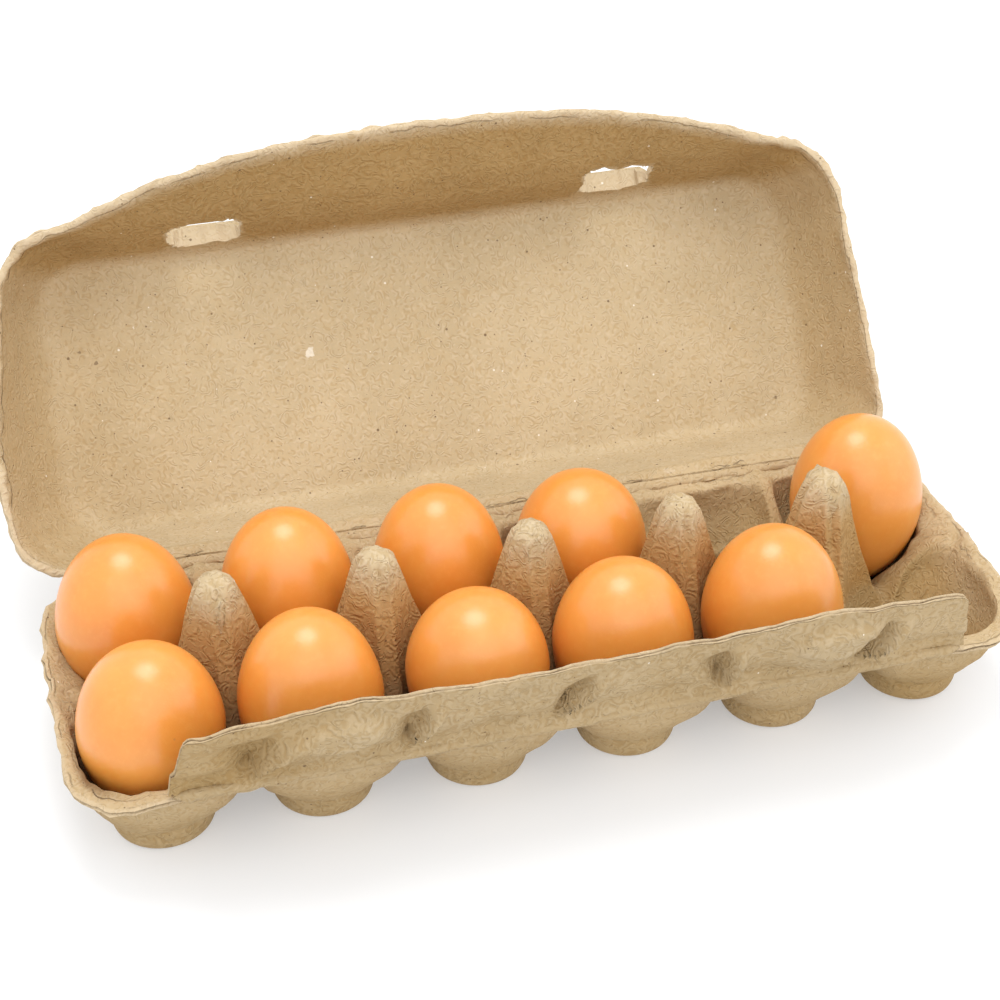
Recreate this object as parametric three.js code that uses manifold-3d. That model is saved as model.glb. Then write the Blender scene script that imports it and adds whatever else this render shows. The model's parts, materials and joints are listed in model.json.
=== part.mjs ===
// Moulded pulp carton for a dozen eggs, with its lid open and ten eggs in it.
// Millimetres, Z up. The rows run along X, the lid's hinge is at +Y, the locking flap at -Y.
import * as THREE from 'three';
import { mergeVertices } from 'three/addons/utils/BufferGeometryUtils.js';
import ManifoldModule from 'manifold-3d';

const wasm = await ManifoldModule();
wasm.setup();

// Driving dimensions of the tray
const COLUMNS = 6;
const CELL_X = 48; // between egg centres along a row
const CELL_Y = 49.1; // between the two rows
const PULP = 2; // thickness of the moulded pulp
const END_RIM_X = 146.8; // half length of the tray's rim
const FRONT_RIM_Y = -55.3;
const BACK_RIM_Y = 53.4;
const CORNER_RADIUS = 15; // tray corners, seen from above
const FRONT_RIM_Z = 35.4;
const BACK_RIM_Z = 32.6;
const END_RIM_Z = 33.8;

// One egg cup, as radii and heights of its upper skin
const FLOOR_Z = 2.6;
const FLOOR_RADIUS = 12;
const FOOT_RADIUS = 14.2; // of the flat underside
const SHOULDER_LOW = { radius: 14.0, z: 9.8 };
const SHOULDER_HIGH = { radius: 15.8, z: 11.4 };
const WALL_KNEE = { radius: 21.3, z: 22 }; // the wall stands steeper above this
const WALL_TOP = { radius: 29.2, z: 66.4 };
const EDGE_ROUND = 1.4; // how far the cup walls stop below the edge they run up to

// The posts between four cups, and the low saddles between them
const POST_TOP_Z = 66.4;
const POST_STEPS = [0, 5.5, 12.5]; // distances from a post's axis
const POST_HEIGHTS = [POST_TOP_Z, 65.7, 38];
const CENTRE_SADDLE_Z = 15; // between a front cup and the cup behind it
const ROW_SADDLE_Z = 24; // between neighbours in a row

// Locking flap: it leans outward from its crease along the tray's front rim
const FLAP_PIVOT = { y: -56.6, z: 36.1 };
const FLAP_LEAN = 12.8; // degrees
const FLAP_HEIGHT = 25.6; // at its two ends
const FLAP_RISE = 2.6; // it stands this much taller between them, and
const FLAP_RISE_AT_BUTTON = 1.8; // this much more again above each button,
const FLAP_RISE_FROM = 22; // all of it above this
const FLAP_BASE_HALF = 119.7;
const FLAP_TAPER = 5.5; // each end comes in by this much at the top
const FLAP_CORNER = 5;
const FLAP_THICKNESS = 1.8;
const FLAP_GAP = 1.0; // from the crease line to the flap's lower edge
const BUTTON_X = 73.5;
const BUTTON_UP = 18.6; // centre of a button above the crease
const BUTTON_HALF = { x: 14, up: 6.4 };
const BUTTON_RISE = 3;

// Lid, in its own measures: s runs from the hinge over the tray, h up from the hinge when shut
const HINGE = { y: 55.2, z: 33.7 };
const LID_OPEN = 127.2; // degrees from shut
const LID_DEPTH = 34.2;
const PANEL_BACK_S = 14.6;
const PANEL_FRONT_S = 100.2;
const PANEL_HALF = 121;
const SLOT_HALF_X = 12.4;
const SLOT_LEFT_X = -74;
const SLOT_RIGHT_X = 71.2;
const SLOT_LOW_H = 15.5;
const SLOT_HIGH_H = 27;

// Eggs: their widest ring is a little above the middle, blunt end up
const EGG_WIDEST_Z = 36.7;
const EGG_BOTTOM_Z = 3.1;
const EGG_SEGMENTS = 12;
const EGG_RINGS = 8;
// column, row (0 at the front), offset along the row, radius, top
const EGGS = [
  [0, 0, -0.6, 21.5, 62.4],
  [1, 0, -1.0, 21.6, 64.4],
  [2, 0, 0.7, 21.5, 60.8],
  [3, 0, -1.0, 21.5, 62.9],
  [4, 0, -1.0, 21.6, 65.6],
  [0, 1, -0.4, 21.8, 65.2],
  [1, 1, 0.4, 20.9, 65.6],
  [2, 1, 0.9, 20.8, 65.0],
  [3, 1, -0.2, 21.2, 61.6],
  [5, 1, 0.0, 21.6, 65.6],
];

const lerp = THREE.MathUtils.lerp;
const rad = THREE.MathUtils.degToRad;

function between(value, from, to) {
  return THREE.MathUtils.clamp((value - from) / (to - from), 0, 1);
}

function smooth(value, from, to) {
  return THREE.MathUtils.smoothstep(value, from, to);
}

// A sheet is one skin of the pulp: welded points and the triangles between them.
class Sheet {
  constructor() {
    this.points = [];
    this.faces = [];
    this.known = new Map();
  }

  point(p) {
    const key = [p.x, p.y, p.z].map((value) => Math.round(value * 1000)).join(' ');
    if (!this.known.has(key)) {
      this.known.set(key, this.points.length);
      this.points.push(p.clone());
    }
    return this.known.get(key);
  }

  face(a, b, c) {
    if (a !== b && b !== c && c !== a) {
      this.faces.push([a, b, c]);
    }
  }

  quad(a, b, c, d) {
    this.face(a, b, c);
    this.face(a, c, d);
  }

  // Joins two rows of points, the second to the left of the first seen from above.
  strip(first, second) {
    const a = first.map((p) => this.point(p));
    const b = second.map((p) => this.point(p));
    for (let i = 0; i < a.length - 1; i += 1) {
      this.quad(a[i], a[i + 1], b[i + 1], b[i]);
    }
  }

  normals() {
    const sums = this.points.map(() => new THREE.Vector3());
    for (const [a, b, c] of this.faces) {
      const ab = this.points[b].clone().sub(this.points[a]);
      const ac = this.points[c].clone().sub(this.points[a]);
      const n = ab.cross(ac).normalize();
      sums[a].add(n);
      sums[b].add(n);
      sums[c].add(n);
    }
    return sums.map((n) => n.normalize());
  }

  // Edges that belong to one triangle only, in that triangle's direction.
  freeEdges() {
    const edges = new Map();
    for (const [a, b, c] of this.faces) {
      for (const [from, to] of [[a, b], [b, c], [c, a]]) {
        if (edges.has(`${to} ${from}`)) {
          edges.delete(`${to} ${from}`);
        } else {
          edges.set(`${from} ${to}`, [from, to]);
        }
      }
    }
    return [...edges.values()];
  }
}

function indexed(points, faces) {
  const geometry = new THREE.BufferGeometry();
  const flat = points.flatMap((p) => [p.x, p.y, p.z]);
  geometry.setAttribute('position', new THREE.Float32BufferAttribute(flat, 3));
  geometry.setIndex(faces.flat());
  return geometry;
}

// Closes a sheet into a shell: a second skin lies one thickness under it, and a strip joins
// the two round every free edge. The finish function may move a point of the second skin.
function thicken(sheet, thickness, finish = (upper, lower) => lower) {
  const normals = sheet.normals();
  const count = sheet.points.length;
  const lower = sheet.points.map((p, i) => {
    return finish(p, p.clone().addScaledVector(normals[i], -thickness));
  });
  const faces = sheet.faces.map((f) => [...f]);
  for (const [a, b, c] of sheet.faces) {
    faces.push([c + count, b + count, a + count]);
  }
  for (const [from, to] of sheet.freeEdges()) {
    faces.push([to, from, from + count]);
    faces.push([to, from + count, to + count]);
  }
  return indexed([...sheet.points, ...lower], faces);
}

// Welds a lathe or extrusion and drops the empty triangles at its poles.
function welded(geometry) {
  geometry.deleteAttribute('uv');
  geometry.deleteAttribute('normal');
  const merged = mergeVertices(geometry, 1e-4);
  const kept = [];
  for (let i = 0; i < merged.index.count; i += 3) {
    const [a, b, c] = [0, 1, 2].map((k) => merged.index.getX(i + k));
    if (a !== b && b !== c && c !== a) {
      kept.push(a, b, c);
    }
  }
  merged.setIndex(kept);
  return merged;
}

function wallRadius(z) {
  if (z < WALL_KNEE.z) {
    const part = (z - SHOULDER_HIGH.z) / (WALL_KNEE.z - SHOULDER_HIGH.z);
    return lerp(SHOULDER_HIGH.radius, WALL_KNEE.radius, part);
  }
  const part = (z - WALL_KNEE.z) / (WALL_TOP.z - WALL_KNEE.z);
  return lerp(WALL_KNEE.radius, WALL_TOP.radius, part);
}

// Height of the edge between cups, down the side of a post to the saddle beside it.
function postHeight(distance, saddle) {
  const steps = [...POST_STEPS, CELL_X / 2];
  const heights = [...POST_HEIGHTS, saddle];
  for (let i = 1; i < steps.length; i += 1) {
    if (distance <= steps[i]) {
      return lerp(heights[i - 1], heights[i], between(distance, steps[i - 1], steps[i]));
    }
  }
  return saddle;
}

function rimHeight(x, y) {
  const along = y < 0 ? FRONT_RIM_Z : BACK_RIM_Z;
  const toEnd = smooth(Math.abs(x), END_RIM_X - 34, END_RIM_X - 8);
  return lerp(along, END_RIM_Z, toEnd);
}

// Height of the tray's upper skin on the lines where cups meet and along the rim.
function edgeHeight(x, y) {
  const rimY = y < 0 ? FRONT_RIM_Y : BACK_RIM_Y;
  const lastCup = CELL_X * (COLUMNS - 1) / 2;
  if (Math.abs(x) > END_RIM_X - 0.1 || Math.abs(y) > Math.abs(rimY) - 0.1) {
    return rimHeight(x, y);
  }
  if (Math.abs(y) < 0.1) {
    if (Math.abs(x) > lastCup) {
      // The web at each end slopes up to the rim.
      return lerp(CENTRE_SADDLE_Z, END_RIM_Z, between(Math.abs(x), lastCup, END_RIM_X));
    }
    const toPost = Math.abs(x - CELL_X * Math.round(x / CELL_X));
    return postHeight(toPost, CENTRE_SADDLE_Z);
  }
  if (Math.abs(y) <= CELL_Y / 2) {
    return postHeight(Math.abs(y), ROW_SADDLE_Z);
  }
  const toRim = smooth(Math.abs(y), CELL_Y / 2, CELL_Y / 2 + 20);
  return lerp(ROW_SADDLE_Z, rimHeight(x, y), toRim);
}

// The rim's corners are round: a point near a square corner moves onto the arc.
function roundCorner(x, y) {
  const limitX = END_RIM_X - CORNER_RADIUS;
  const limitY = Math.abs(y < 0 ? FRONT_RIM_Y : BACK_RIM_Y) - CORNER_RADIUS;
  const over = new THREE.Vector2(Math.abs(x) - limitX, Math.abs(y) - limitY);
  if (over.x <= 0 || over.y <= 0) {
    return new THREE.Vector2(x, y);
  }
  over.setLength(CORNER_RADIUS);
  return new THREE.Vector2(Math.sign(x) * (limitX + over.x), Math.sign(y) * (limitY + over.y));
}

// Points round one cell, anticlockwise from above, from its corner nearest to -X and -Y.
function cellOutline(column, row) {
  const centreX = (column - (COLUMNS - 1) / 2) * CELL_X;
  const west = column === 0 ? -END_RIM_X : centreX - CELL_X / 2;
  const east = column === COLUMNS - 1 ? END_RIM_X : centreX + CELL_X / 2;
  const rimY = row === 0 ? FRONT_RIM_Y : BACK_RIM_Y;
  const away = [...POST_STEPS, CELL_X / 2];
  const xs = [
    ...away.map((step) => lerp(west, centreX, step / away.at(-1))),
    ...away.slice(0, -1).reverse().map((step) => lerp(east, centreX, step / away.at(-1))),
  ];
  const depths = [...POST_STEPS, CELL_Y / 2, CELL_Y / 2 + 10, CELL_Y / 2 + 20, Math.abs(rimY)];
  const ys = depths.map((depth) => (row === 0 ? -depth : depth));
  if (row === 0) {
    ys.reverse();
  }
  const outline = [
    ...xs.slice(0, -1).map((x) => [x, ys[0]]),
    ...ys.slice(0, -1).map((y) => [east, y]),
    ...[...xs].reverse().slice(0, -1).map((x) => [x, ys.at(-1)]),
    ...[...ys].reverse().slice(0, -1).map((y) => [west, y]),
  ];
  return outline.map(([x, y]) => {
    const onRim = roundCorner(x, y);
    return new THREE.Vector3(onRim.x, onRim.y, edgeHeight(x, y));
  });
}

// The upper skin from a cup's centre out to one point of its cell's outline.
function spoke(centre, edge) {
  const out = new THREE.Vector3(edge.x - centre.x, edge.y - centre.y, 0).normalize();
  const at = (radius, z) => new THREE.Vector3(centre.x, centre.y, z).addScaledVector(out, radius);
  const cutZ = edge.z - EDGE_ROUND;
  const wallZ = Math.min(WALL_KNEE.z, (SHOULDER_HIGH.z + cutZ) / 2);
  return [
    at(0, FLOOR_Z),
    at(FLOOR_RADIUS, FLOOR_Z),
    at(SHOULDER_LOW.radius, SHOULDER_LOW.z),
    at(SHOULDER_HIGH.radius, SHOULDER_HIGH.z),
    at(wallRadius(wallZ), wallZ),
    at(wallRadius(cutZ), cutZ),
    edge,
  ];
}

function cupCentre(column, row) {
  const x = (column - (COLUMNS - 1) / 2) * CELL_X;
  return new THREE.Vector3(x, (row - 0.5) * CELL_Y, 0);
}

function makeTray() {
  const sheet = new Sheet();
  for (let column = 0; column < COLUMNS; column += 1) {
    for (const row of [0, 1]) {
      const centre = cupCentre(column, row);
      const outline = cellOutline(column, row);
      const spokes = outline.map((edge) => spoke(centre, edge));
      spokes.forEach((spokeHere, i) => {
        sheet.strip(spokeHere, spokes[(i + 1) % spokes.length]);
      });
    }
  }
  // The underside of each cup is a flat round foot.
  const finish = (upper, lower) => {
    if (upper.z > FLOOR_Z + 0.01) {
      return lower;
    }
    const column = Math.round(upper.x / CELL_X + (COLUMNS - 1) / 2);
    const centre = cupCentre(column, upper.y < 0 ? 0 : 1);
    const out = new THREE.Vector3(upper.x - centre.x, upper.y - centre.y, 0);
    if (out.length() > FLOOR_RADIUS / 2) {
      out.setLength(FOOT_RADIUS);
    }
    return centre.add(out);
  };
  return thicken(sheet, PULP, finish);
}

function flapHalf(up) {
  const straight = FLAP_BASE_HALF - FLAP_TAPER * up / FLAP_HEIGHT;
  const intoCorner = Math.max(0, up - (FLAP_HEIGHT - FLAP_CORNER));
  return straight - (FLAP_CORNER - Math.sqrt(FLAP_CORNER ** 2 - intoCorner ** 2));
}

function buttonRise(x, up) {
  const acrossX = (Math.abs(x) - BUTTON_X) / BUTTON_HALF.x;
  const acrossUp = (up - BUTTON_UP) / BUTTON_HALF.up;
  const inside = Math.max(0, 1 - acrossX ** 2 - acrossUp ** 2);
  return BUTTON_RISE * Math.min(1, 1.6 * inside);
}

// How much taller the flap is here than at its ends.
function flapRise(x) {
  const inFromEnd = Math.min(1, Math.max(0, (FLAP_BASE_HALF - Math.abs(x)) / 30));
  const offButton = Math.min(1, Math.abs(Math.abs(x) - BUTTON_X) / 22);
  return FLAP_RISE * inFromEnd * (2 - inFromEnd) + FLAP_RISE_AT_BUTTON * (1 - offButton ** 2);
}

// The flap as one sheet facing away from the tray, its buttons pressed outward.
function makeFlap() {
  const sheet = new Sheet();
  const lean = rad(FLAP_LEAN);
  const upward = new THREE.Vector3(0, -Math.sin(lean), Math.cos(lean));
  const outward = new THREE.Vector3(0, -Math.cos(lean), -Math.sin(lean));
  const half = [0, 20, 40];
  for (const part of [-1, -0.78, -0.4, 0, 0.4, 0.78, 1]) {
    half.push(BUTTON_X + part * BUTTON_HALF.x);
  }
  half.push(104, FLAP_BASE_HALF);
  const across = [...half.slice(1).reverse().map((x) => -x), ...half];
  const rows = [FLAP_GAP, 8, 12.2, 15.4, BUTTON_UP, FLAP_RISE_FROM, FLAP_HEIGHT - 0.3];
  const columns = across.map((x) => rows.map((up) => {
    const narrowed = x * flapHalf(up) / FLAP_BASE_HALF;
    const rise = buttonRise(x, up) + FLAP_THICKNESS / 2;
    const taller = flapRise(x) * Math.max(0, up - FLAP_RISE_FROM) / (FLAP_HEIGHT - FLAP_RISE_FROM);
    return new THREE.Vector3(narrowed, FLAP_PIVOT.y, FLAP_PIVOT.z)
      .addScaledVector(upward, up + taller)
      .addScaledVector(outward, rise);
  }));
  for (let i = 0; i < columns.length - 1; i += 1) {
    sheet.strip(columns[i + 1], columns[i]);
  }
  sheet.faces = sheet.faces.map(([a, b, c]) => [c, b, a]);
  return thicken(sheet, FLAP_THICKNESS);
}

// Lid outline at one level, in s and h. The front edge bows out in the middle.
const LID_EDGE_BOW = 16.5;
const LID_LEVELS = [
  { h: LID_DEPTH, half: PANEL_HALF, back: PANEL_BACK_S + 1, front: PANEL_FRONT_S - 1, corner: 9 },
  { h: LID_DEPTH - 2, half: PANEL_HALF + 6, back: 12.8, front: 101.6, corner: 13 },
  { h: 27, half: PANEL_HALF + 12.8, back: 10, front: 103.9, corner: 16 },
  { h: 19, half: PANEL_HALF + 19.2, back: 7.4, front: 107.2, corner: 19 },
  { h: 11, half: PANEL_HALF + 22.6, back: 4.8, front: 110.8, bow: 4, corner: 22 },
  { h: 1.3, half: PANEL_HALF + 25.6, back: 1.8, front: 114.6, bow: LID_EDGE_BOW, corner: 24 },
];
const LID_FRONT_DROP = 7; // the middle of the front edge hangs this far below its ends
const LID_LEFT_BULGE = 4; // the left end is pressed out a little more than the right

function lidRing(level) {
  const steps = 4; // points on each round corner
  const bow = level.bow ?? 0;
  const points = [];
  const corner = (x, s, from) => {
    for (let i = 0; i <= steps; i += 1) {
      const turn = rad(from + 90 * i / steps);
      const px = x + level.corner * Math.cos(turn);
      points.push([px, s + level.corner * Math.sin(turn)]);
    }
  };
  const side = level.half - level.corner;
  const low = level.back + level.corner;
  const high = level.front - level.corner;
  corner(side, high, 0);
  for (const part of [0.72, 0.52, 0.28, 0, -0.28, -0.52, -0.72]) {
    points.push([part * side, level.front]);
  }
  corner(-side, high, 90);
  corner(-side, low, 180);
  corner(side, low, 270);
  const bulge = LID_LEFT_BULGE * between(LID_DEPTH - level.h, 0, LID_DEPTH);
  return points.map(([x, s]) => {
    const toMiddle = 1 - between(Math.abs(x), 0, side) ** 2;
    const forward = between(s, level.front - level.corner, level.front) ** 2;
    const leftward = x < 0 ? bulge * Math.abs(x) / level.half : 0;
    const drop = LID_FRONT_DROP * (bow / LID_EDGE_BOW) ** 3 * toMiddle * forward;
    return new THREE.Vector3(x - leftward, s + bow * toMiddle * forward, level.h - drop);
  });
}

// From the lid's own measures to where they lie with the lid open.
function openLid(p) {
  const turn = rad(LID_OPEN);
  const y = HINGE.y - p.y * Math.cos(turn) + p.z * Math.sin(turn);
  const z = HINGE.z + p.y * Math.sin(turn) + p.z * Math.cos(turn);
  return new THREE.Vector3(p.x, y, z);
}

function toManifold(geometry) {
  const vertProperties = Float32Array.from(geometry.getAttribute('position').array);
  const triVerts = Uint32Array.from(geometry.index.array);
  return new wasm.Manifold(new wasm.Mesh({ numProp: 3, vertProperties, triVerts }));
}

function makeLid() {
  const sheet = new Sheet();
  const rings = LID_LEVELS.map(lidRing);
  const centre = new THREE.Vector3(0, (PANEL_BACK_S + PANEL_FRONT_S) / 2, LID_DEPTH);
  rings.unshift(rings[0].map(() => centre));
  for (let i = 0; i < rings.length - 1; i += 1) {
    const inner = [...rings[i], rings[i][0]];
    const outer = [...rings[i + 1], rings[i + 1][0]];
    sheet.strip(inner, outer);
  }
  let lid = toManifold(thicken(sheet, PULP));
  for (const x of [SLOT_LEFT_X, SLOT_RIGHT_X]) {
    const size = [2 * SLOT_HALF_X, 40, SLOT_HIGH_H - SLOT_LOW_H];
    const slot = wasm.Manifold.cube(size, true)
      .translate([x, PANEL_FRONT_S + 6, (SLOT_HIGH_H + SLOT_LOW_H) / 2]);
    lid = lid.subtract(slot);
  }
  const mesh = lid.getMesh();
  const points = [];
  for (let i = 0; i < mesh.numVert; i += 1) {
    const [x, s, h] = mesh.position(i);
    points.push(openLid(new THREE.Vector3(x, s, h)));
  }
  const faces = [];
  for (let i = 0; i < mesh.triVerts.length; i += 3) {
    // s and h change hands in the open lid, so each triangle is turned round.
    faces.push([mesh.triVerts[i], mesh.triVerts[i + 2], mesh.triVerts[i + 1]]);
  }
  return indexed(points, faces);
}

function makeEgg(radius, top) {
  const profile = [];
  for (let i = 0; i <= EGG_RINGS; i += 1) {
    const turn = Math.PI * (i / EGG_RINGS - 0.5);
    const reach = turn > 0 ? top - EGG_WIDEST_Z : EGG_WIDEST_Z - EGG_BOTTOM_Z;
    const onAxis = i === 0 || i === EGG_RINGS;
    const x = onAxis ? 0 : radius * Math.cos(turn);
    profile.push(new THREE.Vector2(x, EGG_WIDEST_Z + reach * Math.sin(turn)));
  }
  return welded(new THREE.LatheGeometry(profile, EGG_SEGMENTS).rotateX(Math.PI / 2));
}

function add(group, name, geometry, color, roughness) {
  geometry.computeVertexNormals();
  const material = new THREE.MeshStandardMaterial({ color, roughness, metalness: 0 });
  const mesh = new THREE.Mesh(geometry, material);
  mesh.name = name;
  group.add(mesh);
}

const group = new THREE.Group();
group.name = 'egg_carton';
add(group, 'tray', makeTray(), 0xc8a778, 0.95);
add(group, 'flap', makeFlap(), 0xc7b08e, 0.95);
add(group, 'lid', makeLid(), 0xd6bb92, 0.95);
EGGS.forEach(([column, row, offset, radius, top]) => {
  const centre = cupCentre(column, row);
  const egg = makeEgg(radius, top).translate(centre.x + offset, centre.y, 0);
  const place = row === 0 ? 'front' : 'back';
  add(group, `egg_${place}_${column + 1}`, egg, 0xf0a862, 0.55);
});

// The origin is under the middle of the whole object.
const box = new THREE.Box3().setFromObject(group);
const middle = box.getCenter(new THREE.Vector3());
for (const mesh of group.children) {
  mesh.geometry.translate(-middle.x, -middle.y, -box.min.z);
}

export default group;
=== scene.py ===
"""A moulded pulp carton for a dozen eggs, its lid open, with ten brown eggs in it."""

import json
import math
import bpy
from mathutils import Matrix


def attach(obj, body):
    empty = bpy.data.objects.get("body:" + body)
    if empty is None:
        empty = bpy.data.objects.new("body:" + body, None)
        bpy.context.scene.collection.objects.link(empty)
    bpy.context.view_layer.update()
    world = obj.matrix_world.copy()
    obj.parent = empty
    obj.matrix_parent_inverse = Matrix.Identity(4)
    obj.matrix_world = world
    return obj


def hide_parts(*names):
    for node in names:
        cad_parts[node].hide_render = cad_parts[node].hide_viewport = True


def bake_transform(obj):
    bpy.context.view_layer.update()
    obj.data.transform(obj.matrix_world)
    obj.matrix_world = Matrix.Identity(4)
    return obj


bl_info = {
    "name": "Pulp Egg Carton",
    "version": (1, 0, 0),
    "blender": (4, 5, 0),
    "location": "View3D > Sidebar > Egg Carton",
    "description": "Builds a moulded pulp egg carton and its eggs round a packed frame",
    "category": "Add Mesh",
}

from contextlib import contextmanager
from itertools import product

import bpy
import numpy as np
from mathutils import Matrix, Vector

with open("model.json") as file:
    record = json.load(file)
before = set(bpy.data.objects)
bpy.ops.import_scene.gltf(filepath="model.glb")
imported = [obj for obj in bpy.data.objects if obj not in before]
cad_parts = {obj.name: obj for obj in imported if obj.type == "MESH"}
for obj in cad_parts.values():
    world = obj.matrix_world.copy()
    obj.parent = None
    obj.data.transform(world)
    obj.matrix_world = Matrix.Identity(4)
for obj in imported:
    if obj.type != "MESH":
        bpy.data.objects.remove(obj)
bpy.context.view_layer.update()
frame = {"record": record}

# Everything below is worked out in millimetres, from the middle of the tray at floor level:
# X along the rows of cups, Y from the locking flap to the hinge, Z up.
MM = 0.001
JOINTS = {joint["name"]: joint for joint in frame["record"]["behaviour"]["joints"]}
HINGE_Y = 55.2
HINGE_Z = 33.7
HINGE_IN_FRAME = np.array(JOINTS["lid_hinge"]["pos_m"]) / MM
MIDDLE = HINGE_IN_FRAME - (0, HINGE_Y, HINGE_Z)

# Tray
COLUMNS = 6
CELL_X = 48.0
CELL_Y = 49.1
LAST_CUP_X = CELL_X * (COLUMNS - 1) / 2
END_RIM_X = 147.6
FRONT_RIM_Y = -55.3
BACK_RIM_Y = 53.4
CORNER_RADIUS = 22.0
FRONT_RIM_Z = 35.4
BACK_RIM_Z = 32.6
END_RIM_Z = 33.8
FLOOR = (13.4, 2.0)  # radius and height of the cup's floor
SHOULDER_LOW = (14.6, 10.8)
SHOULDER_HIGH = (17.2, 12.3)
WALL_KNEE = (21.3, 22.0)
WALL_TOP = (28.7, 66.4)
CENTRE_SADDLE_Z = 15.0
# A cup's mouth is a rounded square: how far it reaches toward a neighbour, an end, the front,
# the back, and the web at an end
MOUTH_SIDE = 22.4
MOUTH_END = 23.3
MOUTH_FRONT = 24.6
MOUTH_BACK = 22.6
MOUTH_WEB = 28.6
LAND = 0.8  # the least flat land between a mouth and the cell's outline
CRISP = 1.5  # how far back a sharp edge of the land is rounded
# Distance from a post's axis, and the height of its ridges along the row and across it
POST_AWAY = (0, 2.8, 4.7, 5.7, 6.8, 8.2, 9.8, 11.2, 12.8, 15.5, 18.5, 21, 24.55)
POST_ALONG = (66.4, 66.3, 65.6, 63.8, 58, 51, 45.5, 41.5, 37, 30, 22.5, 17.5, 15)
POST_ACROSS = (66.4, 66.3, 65.6, 63.8, 58, 51, 45.5, 41.5, 37, 31.5, 28, 25.5, 24)

# Lid: s runs from the hinge over the tray, h up from the hinge, as it lies when shut
LID_OPEN = math.radians(127.2)
LID_UP = np.array([0, math.sin(LID_OPEN), math.cos(LID_OPEN)])
# h, half length, back s, front s, corner radius at the back and at the front, bow of the front
LID_LEVELS = (
    (34.2, 119.0, 16.4, 98.6, 8, 8, 0),
    (34.15, 120.8, 15.8, 99.2, 9.3, 9.3, 0),
    (34.0, 122.4, 15.1, 99.8, 10.6, 10.8, 0),
    (33.7, 124.0, 14.4, 100.3, 11.8, 12.2, 0),
    (33.1, 126.0, 13.6, 100.9, 13, 13.6, 0),
    (32.0, 128.6, 12.6, 101.6, 14, 15, 0),
    (30.4, 131.2, 11.6, 102.4, 15, 16.5, 0),
    (28.2, 133.7, 10.5, 103.3, 16, 18.2, 0),
    (25.0, 136.3, 9.3, 104.3, 17, 20.5, 0),
    (19.0, 139.9, 7.4, 105.8, 17, 22, 0.8),
    (11.0, 142.8, 4.8, 107.0, 15.5, 22.5, 5.2),
    (5.5, 144.6, 3.1, 107.8, 13.5, 22.5, 12.0),
    (1.3, 145.6, 1.8, 108.4, 12, 22.5, 18.6),
)
LID_DEPTH = LID_LEVELS[0][0]
LID_BOW = LID_LEVELS[-1][-1]
LID_FRONT_DROP = 7.0
LID_LEFT_BULGE = 6.2

# Locking flap
FLAP_Y = -56.6
FLAP_Z = 36.1
FLAP_LEAN = math.radians(12.8)
FLAP_HEIGHT = 25.6
FLAP_BASE_HALF = 119.7
FLAP_TAPER = 5.5
FLAP_CORNER = 2.6
BUTTONS_X = (-71.8, 75.6)

# Eggs
EGG_WIDEST_Z = 36.7
EGG_BOTTOM_Z = 3.1

# How the sheets are put together
WELD = 0.02  # points nearer than this become one where two sheets meet
RIM_CUTS = 5  # points laid across a torn edge
OUTSIDE_TONE = 0.2  # share of an inside tone that the outside has


# ---------------------------------------------------------------- shared helpers


def in_frame(points):
    """Carton millimetres to metres in the frame."""
    return (np.asarray(points, float) + MIDDLE) * MM


def smooth(value, low, high):
    """0 below low and 1 above high, with a soft curve between."""
    part = np.clip((np.asarray(value, float) - low) / (high - low), 0, 1)
    return part * part * (3 - 2 * part)


def hump(value, middle, width):
    """1 in the middle, falling away smoothly on both sides."""
    return np.exp(-(((value - middle) / width) ** 2))


def lumps(points, size, seed):
    """Soft uneven heights from -1 to 1, with hollows and swellings of about that size."""
    table = np.random.default_rng(seed).uniform(-1, 1, (32, 32, 32))
    scaled = np.asarray(points, float) / size
    cell = np.floor(scaled).astype(int)
    part = scaled - cell
    part = part * part * (3 - 2 * part)
    total = np.zeros(scaled.shape[:-1])
    for corner in product((0, 1), repeat=3):
        share = np.prod(np.where(corner, part, 1 - part), axis=-1)
        at = (cell + corner) % 32
        total += share * table[at[..., 0], at[..., 1], at[..., 2]]
    return total


def uneven(points, *layers):
    """Several sizes of lump added up, each given as its height, size and seed."""
    return sum(height * lumps(points, size, seed) for height, size, seed in layers)


def along_x(x):
    """Points that differ only along the rows, for lumps that run straight across them."""
    return np.stack([x, x * 0, x * 0], -1)


def select_only(*objects):
    bpy.ops.object.select_all(action="DESELECT")
    for obj in objects:
        obj.select_set(True)
    bpy.context.view_layer.objects.active = objects[0]


@contextmanager
def editing(obj, select="SELECT"):
    """Edit mode, with all points picked, none of them, or those that are picked already."""
    select_only(obj)
    bpy.ops.object.mode_set(mode="EDIT")
    if select:
        bpy.ops.mesh.select_all(action=select)
    yield
    bpy.ops.object.mode_set(mode="OBJECT")


def get_points(obj):
    points = np.empty(len(obj.data.vertices) * 3, np.float32)
    obj.data.vertices.foreach_get("co", points)
    return points.reshape(-1, 3).astype(float) / MM - MIDDLE


def set_points(obj, points):
    obj.data.vertices.foreach_set("co", in_frame(points).astype(np.float32).ravel())
    obj.data.update()


def get_normals(obj):
    normals = np.empty(len(obj.data.vertices) * 3, np.float32)
    obj.data.vertices.foreach_get("normal", normals)
    return normals.reshape(-1, 3).astype(float)


def store(obj, name, values):
    """Keeps one number per point for the materials to read."""
    layer = obj.data.attributes.get(name) or obj.data.attributes.new(name, "FLOAT", "POINT")
    layer.data.foreach_set("value", np.asarray(values, np.float32))


def read(obj, name):
    """The numbers that store() kept."""
    values = np.empty(len(obj.data.vertices), np.float32)
    obj.data.attributes[name].data.foreach_get("value", values)
    return values.astype(float)


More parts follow.
